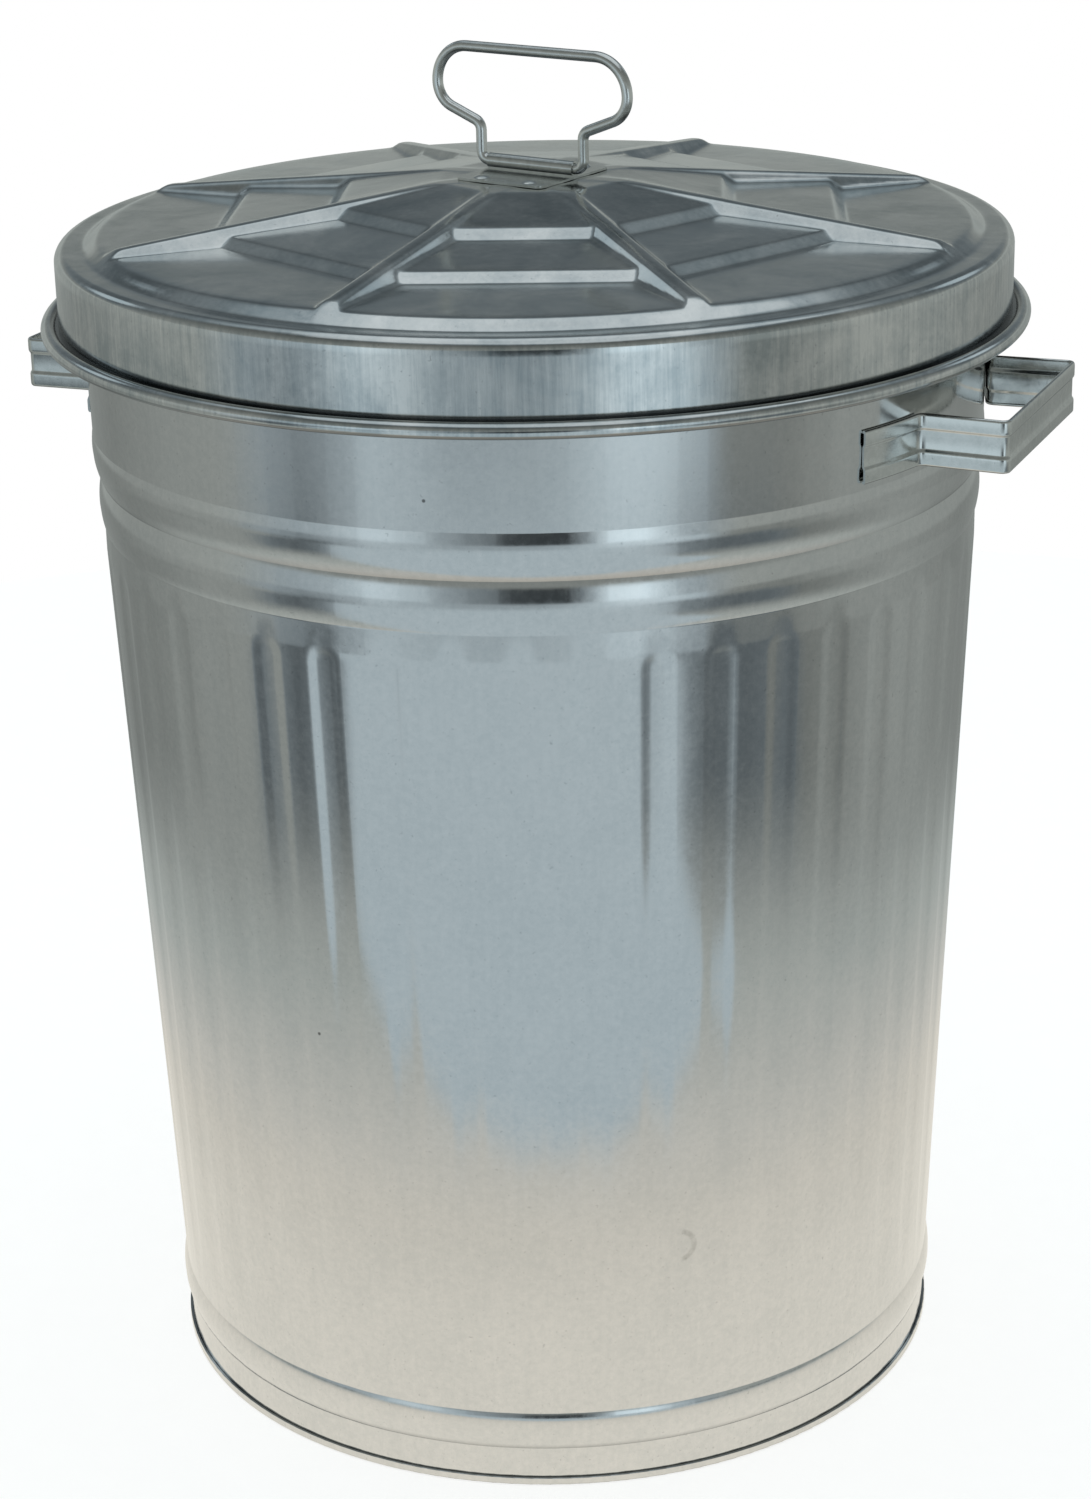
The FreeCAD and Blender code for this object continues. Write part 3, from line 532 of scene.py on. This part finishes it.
def make_handle(name, side, node):
    path = [(side * x, side * y, STRAP_LEVEL) for x, y in handle_path()]
    vertices, faces = sweep(path, strap_section(), across=(0, 0, 1))
    new_piece(name, vertices, faces, "can", "galvanized_strap", [node], 50)


# ---------------------------------------------------------------- bail

_, bail_high = low_high("lid_bail")
_, strap_high = low_high("bail_strap")
WIRE = 2.4 * MM
ROLL = 3.28 * MM
PIN_END = 9.5 * MM
BAIL_LEVEL = strap_high[2] - ROLL
BAIL_TOP = bail_high[2] - WIRE
BAIL_TURN = math.radians(-11.6)
LOBE_HALF = 50 * MM
LOBE_LEVEL = BAIL_TOP - 24.1 * MM
LEG_AT = 27 * MM
LOBE_FALL = math.tan(math.radians(21))


def make_bail():
    """Wire bail: two pins, a leg on each, round lobes and a straight top."""
    half = [
        (0, BAIL_TOP, 0),
        (LOBE_HALF, BAIL_TOP, 16 * MM),
        (LOBE_HALF, LOBE_LEVEL, 11.5 * MM),
        (LEG_AT, LOBE_LEVEL - (LOBE_HALF - LEG_AT) * LOBE_FALL, 4.5 * MM),
        (LEG_AT, BAIL_LEVEL, 4 * MM),
        (PIN_END, BAIL_LEVEL, 0),
    ]
    corners = [(-x, z, r) for x, z, r in reversed(half[1:])] + half[1:]
    c, s = math.cos(BAIL_TURN), math.sin(BAIL_TURN)
    path = [(c * u, s * u, z) for u, z in rounded_path(corners, 0.8 * MM)]
    section = arc_points((0, 0), WIRE, 0, 360, 25)[:-1]
    vertices, faces = sweep(path, section, across=(-s, c, 0))
    new_piece("bail_wire", vertices, faces, "bail", "zinc_wire", ["lid_bail"])


# ---------------------------------------------------------------- shader helpers


def node_group(owner):
    owner.use_nodes = True
    tree = owner.node_tree
    tree.nodes.clear()
    return tree


def add(tree, kind, **values):
    node = tree.nodes.new(kind)
    for name, value in values.items():
        setattr(node, name, value)
    return node


def join(tree, start, end):
    tree.links.new(start, end)


def noise(tree, vector, scale, marks_and_shade, roughness=0.6, distortion=0.0):
    node = add(tree, "ShaderNodeTexNoise")
    node.inputs["Scale"].default_value = scale
    node.inputs["Detail"].default_value = marks_and_shade
    node.inputs["Roughness"].default_value = roughness
    node.inputs["Distortion"].default_value = distortion
    join(tree, vector, node.inputs["Vector"])
    return node.outputs["Fac"]


def stretched(tree, vector, scale):
    node = add(tree, "ShaderNodeMapping")
    node.inputs["Scale"].default_value = scale
    join(tree, vector, node.inputs["Vector"])
    return node.outputs["Vector"]


def ramp(tree, value, low, high, to_low, to_high):
    node = add(tree, "ShaderNodeMapRange")
    node.inputs["From Min"].default_value = low
    node.inputs["From Max"].default_value = high
    node.inputs["To Min"].default_value = to_low
    node.inputs["To Max"].default_value = to_high
    join(tree, value, node.inputs["Value"])
    return node.outputs["Result"]


def eased(tree, value, low, high):
    """Smooth way from 0 at the low value to 1 at the high one."""
    node = add(tree, "ShaderNodeMapRange", interpolation_type="SMOOTHSTEP")
    node.inputs["From Min"].default_value = low
    node.inputs["From Max"].default_value = high
    join(tree, value, node.inputs["Value"])
    return node.outputs["Result"]


def calc(tree, kind, a, b=0):
    node = add(tree, "ShaderNodeMath", operation=kind)
    for socket, value in zip(node.inputs, (a, b)):
        if isinstance(value, (int, float)):
            socket.default_value = value
        else:
            join(tree, value, socket)
    return node.outputs[0]


def product(tree, first, *others):
    for other in others:
        first = calc(tree, "MULTIPLY", first, other)
    return first


def weighted(tree, first, *others):
    """Sum of (socket, weight) pairs."""
    total = product(tree, *first)
    for pair in others:
        total = calc(tree, "ADD", total, product(tree, *pair))
    return total


def squared_share(tree, value, centre, reach):
    share = calc(tree, "DIVIDE", calc(tree, "SUBTRACT", value, centre), reach)
    return product(tree, share, share)


def vector_calc(tree, kind, a, b=None, output="Value"):
    node = add(tree, "ShaderNodeVectorMath", operation=kind)
    join(tree, a, node.inputs[0])
    if b is not None:
        node.inputs[1].default_value = b
    return node.outputs[output]


def share_along(tree, vector, axis):
    return vector_calc(tree, "DOT_PRODUCT", vector, axis)


def upright_part(tree, vector):
    split = add(tree, "ShaderNodeSeparateXYZ")
    join(tree, vector, split.inputs[0])
    return split.outputs["Z"]


def blend(tree, factor, a, b):
    node = add(tree, "ShaderNodeMix", data_type="RGBA")
    join(tree, factor, node.inputs["Factor"])
    for socket, value in ((node.inputs["A"], a), (node.inputs["B"], b)):
        if isinstance(value, tuple):
            socket.default_value = value
        else:
            join(tree, value, socket)
    return node.outputs["Result"]


def bumped(tree, height, strength, distance, under=None):
    node = add(tree, "ShaderNodeBump")
    node.inputs["Strength"].default_value = strength
    node.inputs["Distance"].default_value = distance
    join(tree, height, node.inputs["Height"])
    if under is not None:
        join(tree, under, node.inputs["Normal"])
    return node.outputs["Normal"]


def mix_shaders(tree, factor, a, b):
    node = add(tree, "ShaderNodeMixShader")
    for socket, value in zip(node.inputs, (factor, a, b)):
        join(tree, value, socket)
    return node.outputs["Shader"]


# ---------------------------------------------------------------- zinc

# Painted shade colour for surfaces that face the ground.
UNDERSIDE_SHADE = (0.1, 0.105, 0.105, 1)
# Painted shade colour for the groove between the lid's skirt and its lip.
GROOVE_SHADE = (0.08, 0.085, 0.085, 1)
SCUFF = (0.22, 0.22, 0.2, 1)
PIT = (0.06, 0.06, 0.06, 1)
SCUFF_PLACE = (0.1185, -0.1405, 0.1165)
SCUFF_RADIUS = 7 * MM
SCUFF_WAY = (0.747, 0.665, 0)  # toward the half of the ring that shows
PITS = ((0.0348, -0.1956, 0.46), (-0.028, -0.186, 0.2142))


def upward_share(tree):
    """Height component of the surface's own direction."""
    return upright_part(tree, add(tree, "ShaderNodeNewGeometry").outputs["Normal"])


def painted_underside_shade(tree, colour):
    """Painted shade: darken the metal where it faces the ground, as on the underside of rolls and
    lips.
    """
    share = product(tree, eased(tree, upward_share(tree), -0.3, -0.55), 0.8)
    return blend(tree, share, colour, UNDERSIDE_SHADE)


def lip_shade(tree, place, colour):
    """Painted shade: a dark line in the groove between the lid's skirt and its rolled lip."""
    level = calc(tree, "SUBTRACT", upright_part(tree, place), SKIRT_FOOT)
    flat = vector_calc(tree, "MULTIPLY", place, (1, 1, 0), "Vector")
    out = calc(tree, "SUBTRACT", vector_calc(tree, "LENGTH", flat), SKIRT_RADIUS)
    share = product(
        tree,
        eased(tree, level, 2.6 * MM, 1.4 * MM),
        eased(tree, level, -2 * MM, -1 * MM),
        eased(tree, out, 4.2 * MM, 3.0 * MM),
        0.85,
    )
    return blend(tree, share, colour, GROOVE_SHADE)


def wall_marks(tree, place, colour):
    """A faint crescent scuff low on the right and two dark pits."""
    away = vector_calc(tree, "DISTANCE", place, SCUFF_PLACE)
    off_ring = calc(tree, "ABSOLUTE", calc(tree, "SUBTRACT", away, SCUFF_RADIUS))
    limit = Vector(SCUFF_PLACE).dot(Vector(SCUFF_WAY))
    side = calc(tree, "SUBTRACT", share_along(tree, place, SCUFF_WAY), limit)
    share = product(
        tree,
        eased(tree, off_ring, 1.8 * MM, 0.5 * MM),
        eased(tree, side, 0, 3 * MM),
        ramp(tree, noise(tree, place, 300, 2), 0.35, 0.6, 0.1, 0.3),
    )
    colour = blend(tree, share, colour, SCUFF)
    for point in PITS:
        away = vector_calc(tree, "DISTANCE", place, point)
        share = product(tree, eased(tree, away, 1.0 * MM, 0.4 * MM), 0.8)
        colour = blend(tree, share, colour, PIT)
    return colour


def galvanized(name, dark, light, rough, clouds=0.4, streaks=0.1, dents=0.05 * MM, marks_and_shade=None):
    """Hot-dip zinc on rolled sheet: cloudy grain, rolling streaks, specks and shallow dents, with
    painted shade where the surface faces the ground.
    """
    material = bpy.data.materials.new(name)
    tree = node_group(material)
    place = add(tree, "ShaderNodeTexCoord").outputs["Object"]
    cloud = noise(tree, place, 24, 4, 0.6, 0.6)
    grain = noise(tree, place, 330, 5, 0.7)
    streak = noise(tree, stretched(tree, place, (1, 1, 0.05)), 420, 4, 0.65)
    upright = eased(tree, calc(tree, "ABSOLUTE", upward_share(tree)), 0.6, 0.3)
    streak = product(tree, calc(tree, "SUBTRACT", streak, 0.5), upright)
    streak = calc(tree, "ADD", streak, 0.5)
    mottle = weighted(tree, (cloud, clouds), (grain, 1 - clouds - streaks), (streak, streaks))
    colour = blend(tree, ramp(tree, mottle, 0.4, 0.6, 0, 1), dark, light)
    specks = ramp(tree, noise(tree, place, 640, 2, 0.5), 0.68, 0.76, 0, 0.4)
    colour = blend(tree, specks, colour, tuple(part * 0.55 for part in dark[:3]) + (1,))
    # Extra colour for a part: scuffs and pits on the can, a painted shade line in the groove on
    # the lid.
    if marks_and_shade:
        colour = marks_and_shade(tree, place, colour)

    shader = add(tree, "ShaderNodeBsdfPrincipled")
    shader.inputs["Metallic"].default_value = 1.0
    # Painted shade darkens the base colour where the surface faces the ground.
    join(tree, painted_underside_shade(tree, colour), shader.inputs["Base Color"])
    wear = weighted(tree, (cloud, 0.5), (grain, 0.5))
    wear = ramp(tree, wear, 0.38, 0.62, rough - 0.03, rough + 0.06)
    join(tree, wear, shader.inputs["Roughness"])
    dent = bumped(tree, noise(tree, place, 22, 3, 0.5), 0.5, dents)
    join(tree, bumped(tree, grain, 0.3, 0.02 * MM, dent), shader.inputs["Normal"])
    output = add(tree, "ShaderNodeOutputMaterial")
    join(tree, shader.outputs["BSDF"], output.inputs["Surface"])
    return material


def paint():
    """Give every shown piece the zinc of its slot."""
    materials = {
        "galvanized_can": galvanized(
            "zinc_can", (0.67, 0.68, 0.675, 1), (0.755, 0.755, 0.745, 1), 0.1, 0.3, 0.15,
            marks_and_shade=wall_marks,
        ),
        # The lid's extra colour is a painted shade line in the groove above its lip.
        "galvanized_lid": galvanized(
            "zinc_lid", (0.5, 0.54, 0.55, 1), (0.84, 0.84, 0.82, 1), 0.13, 0.5, 0.35,
            dents=0.4 * MM, marks_and_shade=lip_shade,
        ),
        "galvanized_strap": galvanized(
            "zinc_strap", (0.66, 0.68, 0.66, 1), (0.8, 0.81, 0.79, 1), 0.17
        ),
        "zinc_wire": galvanized("zinc_wire", (0.76, 0.77, 0.75, 1), (0.9, 0.91, 0.89, 1), 0.22),
    }
    slots = {entry["node"]: entry["material_slot"] for entry in frame["record"]["subparts"]}
    for node, thing in frame["nodes"].items():
        thing.data.materials.clear()
        thing.data.materials.append(materials[slots[node]])
    for piece in bpy.data.objects:
        if piece.type == "MESH" and "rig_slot" in piece:
            piece.data.materials.clear()
            piece.data.materials.append(materials[piece["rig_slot"]])


# ---------------------------------------------------------------- stage

TO_CAMERA = Vector((math.cos(FRONT_ANGLE), math.sin(FRONT_ANGLE), 0))
TO_RIGHT = Vector((-math.sin(FRONT_ANGLE), math.cos(FRONT_ANGLE), 0))
UP = Vector((0, 0, 1))

COOL = (0.85, 1.0, 1.08)
PLAIN = (0.93, 1.0, 0.96)
CREAM = (1.04, 1.0, 0.9)

# The studio as the metal sees it: (degrees to the right of the camera, brightness, tint).
AT_HORIZON = [
    (-180, 0.42, PLAIN), (-150, 0.38, PLAIN), (-128, 0.33, PLAIN), (-107, 0.36, PLAIN),
    (-85, 0.42, PLAIN), (-64, 0.44, COOL), (-52, 0.5, COOL), (-43, 0.8, COOL), (-34, 0.7, COOL),
    (-25, 0.42, COOL), (-14, 0.25, COOL), (-8, 0.07, COOL), (6, 0.055, COOL), (11, 0.3, COOL),
    (17, 0.95, COOL), (24, 1.1, COOL), (31, 0.7, COOL), (38, 0.42, COOL), (50, 0.4, PLAIN),
    (64, 0.38, PLAIN), (107, 0.38, PLAIN), (138, 0.33, PLAIN), (165, 0.38, PLAIN),
    (180, 0.42, PLAIN),
]
BELOW_HORIZON = [
    (-180, 0.3, PLAIN), (-138, 0.25, PLAIN), (-107, 0.34, PLAIN), (-86, 0.36, PLAIN),
    (-72, 0.38, COOL), (-62, 0.28, COOL), (-52, 0.38, COOL), (-43, 0.6, COOL), (-33, 0.52, COOL),
    (-21, 0.42, COOL), (0, 0.42, COOL), (10, 0.56, COOL), (21, 0.76, COOL), (34, 0.77, COOL),
    (41, 0.5, COOL), (48, 0.27, PLAIN), (64, 0.25, PLAIN), (81, 0.35, PLAIN),
    (107, 0.33, PLAIN), (138, 0.26, PLAIN), (180, 0.3, PLAIN),
]
FAR_FLOOR = [
    (-180, 0.3, PLAIN), (-150, 0.28, PLAIN), (-128, 0.24, PLAIN), (-107, 0.28, PLAIN),
    (-91, 0.34, PLAIN), (-76, 0.34, PLAIN), (-68, 0.22, COOL), (-61, 0.13, COOL),
    (-54, 0.2, COOL), (-48, 0.45, COOL), (-40, 0.54, COOL), (21, 0.6, COOL), (29, 0.52, COOL),
    (34, 0.26, COOL), (41, 0.16, COOL), (48, 0.145, COOL), (58, 0.18, COOL), (66, 0.22, PLAIN),
    (82, 0.3, PLAIN), (99, 0.36, PLAIN), (118, 0.31, PLAIN), (139, 0.26, PLAIN),
    (180, 0.3, PLAIN),
]
# (degrees above the horizon, brightness, tint)
OVER_BACK = [
    (0, 0.44, PLAIN), (7, 0.54, PLAIN), (9.5, 0.28, PLAIN), (12, 0.25, PLAIN), (15, 0.19, COOL),
    (20, 0.145, COOL), (28, 0.105, COOL), (36, 0.15, COOL), (46, 0.24, COOL), (52, 0.4, COOL),
    (60, 0.42, COOL), (77, 0.43, COOL), (83, 0.37, COOL), (90, 0.36, COOL),
]
OVER_FRONT = [
    (0, 0.34, PLAIN), (12, 0.28, PLAIN), (50, 0.12, PLAIN), (57, 0.2, COOL), (63, 0.38, COOL),
    (90, 0.36, COOL),
]
# Degrees above the horizon over which one field gives way to the next, from the floor upward.
FLOOR_TO_BELOW = (-21, -16.5)
BELOW_TO_HORIZON = (-13.5, -11)
HORIZON_TO_OVER = (4, 9)
FRONT_TO_BACK = (95, 125)  # degrees aside of the camera
# A soft box on each side of the back: (degrees aside of the camera, above the horizon).
SOFTBOX = tuple(0.6 * part for part in COOL) + (1,)
SOFTBOX_PLACE = (134, 27)
SOFTBOX_REACH = (11, 8)

# (metres from the can's axis, brightness, tint) on the floor about the can
FLOOR_RADIUS = 1.25
FLOOR_LEVEL = -0.3 * MM
NEAR_FLOOR = [
    (0.2, 0.82, CREAM), (0.3, 0.775, CREAM), (0.38, 0.7, CREAM), (0.45, 0.63, (1.01, 1, 0.93)),
    (0.53, 0.54, (0.97, 1, 0.95)), (0.6, 0.48, PLAIN), (0.7, 0.4, PLAIN), (0.8, 0.35, PLAIN),
    (0.95, 0.3, PLAIN), (1.25, 0.28, PLAIN),
]
NEAR_TO_FAR = (0.68, 0.88)
# A pale card that lies in front of the can: the direction each side is measured along, and the
# metres from the can's axis over which the card starts or ends.
CARD = tuple(0.58 * part for part in COOL) + (1,)
CARD_SIDES = (
    (TO_RIGHT + TO_CAMERA * 1.13, -0.05, 0.04),
    (TO_RIGHT + TO_CAMERA * 0.15, 0.53, 0.47),
    (TO_CAMERA, 0.43, 0.47),
)

LAMP_SIZE = 2.4
LAMP_HEIGHT = 2.6
LAMP_POWER = 5

CAMERA_TURN = Matrix.Rotation(math.radians(23.36), 3, "Z")
CAMERA_PLACE = Vector((0, -1.433025, 0.822505))
CAMERA_VIEW = Vector((-0.00106281, 0.93570436, -0.35278353))
CAMERA_LEVEL = -0.0011
CAMERA_ROLL = math.radians(-1.2078)
SENSOR = 36
FOCAL_PIXELS = 3282.409
FRAME_PIXELS = 1499


def studio_ramp(tree, value, low, high, stops):
    """Colour that follows a value through the stops."""
    node = add(tree, "ShaderNodeValToRGB")
    elements = node.color_ramp.elements
    elements.remove(elements[1])
    for i, (mark, level, tint) in enumerate(stops):
        position = (mark - low) / (high - low)
        element = elements[0] if i == 0 else elements.new(position)
        element.position = position
        element.color = (*(level * part for part in tint), 1)
    join(tree, ramp(tree, value, low, high, 0, 1), node.inputs["Fac"])
    return node.outputs["Color"]


def degrees_right(tree, vector):
    """Degrees to the right of the camera, seen from the can's axis."""
    right, forward = share_along(tree, vector, TO_RIGHT), share_along(tree, vector, TO_CAMERA)
    return product(tree, calc(tree, "ARCTAN2", right, forward), 180 / math.pi)


def floor_as_reflected(tree, place):
    """Cream paper round the can that falls off to the dim room, with a pale card in front."""
    away = vector_calc(tree, "LENGTH", place)
    near = studio_ramp(tree, away, 0, FLOOR_RADIUS, NEAR_FLOOR)
    far = studio_ramp(tree, degrees_right(tree, place), -180, 180, FAR_FLOOR)
    colour = blend(tree, ramp(tree, away, *NEAR_TO_FAR, 0, 1), near, far)
    sides = [eased(tree, share_along(tree, place, way), *ends) for way, *ends in CARD_SIDES]
    return blend(tree, product(tree, *sides), colour, CARD)


def floor_material():
    """Pale paper: white to the camera but for the can's soft shadow, lit paper to the metal."""
    material = bpy.data.materials.new("floor_paper")
    tree = node_group(material)
    place = add(tree, "ShaderNodeTexCoord").outputs["Object"]
    paper = ramp(tree, noise(tree, place, 60, 4), 0.3, 0.7, 0, 1)
    paper = blend(tree, paper, (0.88, 0.87, 0.84, 1), (0.92, 0.91, 0.88, 1))
    matt = add(tree, "ShaderNodeBsdfDiffuse")
    join(tree, paper, matt.inputs["Color"])
    path = add(tree, "ShaderNodeLightPath")
    glow = add(tree, "ShaderNodeEmission")
    join(tree, product(tree, path.outputs["Is Camera Ray"], 0.74), glow.inputs["Strength"])
    lit = add(tree, "ShaderNodeAddShader")
    join(tree, matt.outputs["BSDF"], lit.inputs[0])
    join(tree, glow.outputs["Emission"], lit.inputs[1])
    mirrored = add(tree, "ShaderNodeEmission")
    join(tree, floor_as_reflected(tree, place), mirrored.inputs["Color"])
    surface = mix_shaders(
        tree, path.outputs["Is Glossy Ray"], lit.outputs["Shader"], mirrored.outputs["Emission"]
    )
    output = add(tree, "ShaderNodeOutputMaterial")
    join(tree, surface, output.inputs["Surface"])
    return material


def make_floor():
    count = 96
    rim = turned(FLOOR_RADIUS, np.arange(count) * TURN / count, FLOOR_LEVEL)
    vertices = [(0, 0, FLOOR_LEVEL)] + [tuple(point) for point in rim]
    faces = [(0, 1 + i, 1 + (i + 1) % count) for i in range(count)]
    mesh = bpy.data.meshes.new("floor")
    mesh.from_pydata(vertices, [], faces)
    mesh.materials.append(floor_material())
    floor = bpy.data.objects.new("floor", mesh)
    bpy.context.scene.collection.objects.link(floor)


def studio_colour(tree, direction):
    """The far floor, the band under the horizon, the horizon, then the room above."""
    azimuth = degrees_right(tree, direction)
    upward = calc(tree, "ARCSINE", share_along(tree, direction, UP))
    elevation = product(tree, upward, 180 / math.pi)
    aside = calc(tree, "ABSOLUTE", azimuth)

    floor, below, horizon = (
        studio_ramp(tree, azimuth, -180, 180, stops)
        for stops in (FAR_FLOOR, BELOW_HORIZON, AT_HORIZON)
    )
    studio = blend(tree, eased(tree, elevation, *FLOOR_TO_BELOW), floor, below)
    studio = blend(tree, eased(tree, elevation, *BELOW_TO_HORIZON), studio, horizon)
    back, front = (studio_ramp(tree, elevation, 0, 90, stops) for stops in (OVER_BACK, OVER_FRONT))
    over = blend(tree, eased(tree, aside, *FRONT_TO_BACK), front, back)
    off_centre = [
        squared_share(tree, value, centre, reach)
        for value, centre, reach in zip((aside, elevation), SOFTBOX_PLACE, SOFTBOX_REACH)
    ]
    over = blend(tree, eased(tree, calc(tree, "ADD", *off_centre), 1.2, 0.5), over, SOFTBOX)
    return blend(tree, eased(tree, elevation, *HORIZON_TO_OVER), studio, over)


def make_world():
    """White to the camera; a soft studio of pale and dark fields to the metal."""
    world = bpy.data.worlds.new("studio")
    bpy.context.scene.world = world
    tree = node_group(world)
    direction = add(tree, "ShaderNodeTexCoord").outputs["Generated"]
    path = add(tree, "ShaderNodeLightPath")
    seen = add(tree, "ShaderNodeBackground")
    seen.inputs["Color"].default_value = (1, 1, 1, 1)
    lit = add(tree, "ShaderNodeBackground")
    join(tree, studio_colour(tree, direction), lit.inputs["Color"])
    surface = mix_shaders(
        tree, path.outputs["Is Camera Ray"], lit.outputs["Background"], seen.outputs["Background"]
    )
    output = add(tree, "ShaderNodeOutputWorld")
    join(tree, surface, output.inputs["Surface"])


def make_lamp():
    """One wide soft lamp straight above the can."""
    data = bpy.data.lights.new("over", "AREA")
    data.shape = "RECTANGLE"
    data.size = data.size_y = LAMP_SIZE
    data.energy = LAMP_POWER
    lamp = bpy.data.objects.new("over", data)
    lamp.location = UP * LAMP_HEIGHT
    lamp.rotation_euler = (-UP).to_track_quat("-Z", "Y").to_euler()
    bpy.context.scene.collection.objects.link(lamp)


def make_camera():
    """The photograph's camera: 1433 mm from the can's axis and 822.5 mm above the floor."""
    view = CAMERA_VIEW.normalized()
    level = Vector((math.cos(CAMERA_LEVEL), math.sin(CAMERA_LEVEL), 0))
    upright = level.cross(view)
    c, s = math.cos(CAMERA_ROLL), math.sin(CAMERA_ROLL)
    right = level * c + upright * s
    up = upright * c - level * s
    axes = CAMERA_TURN @ Matrix((right, up, -view)).transposed()
    data = bpy.data.cameras.new("camera")
    data.sensor_width = SENSOR
    data.lens = FOCAL_PIXELS / FRAME_PIXELS * SENSOR
    camera = bpy.data.objects.new("camera", data)
    camera.matrix_world = Matrix.Translation(CAMERA_TURN @ CAMERA_PLACE) @ axes.to_4x4()
    bpy.context.scene.collection.objects.link(camera)
    bpy.context.scene.camera = camera


make_wall()
make_seam()
make_lid()
make_handle("right_handle", 1, "side_handle_right")
make_handle("left_handle", -1, "side_handle_left")
make_bail()
paint()
make_floor()
make_world()
make_lamp()
make_camera()
bpy.context.scene.view_settings.view_transform = "Standard"
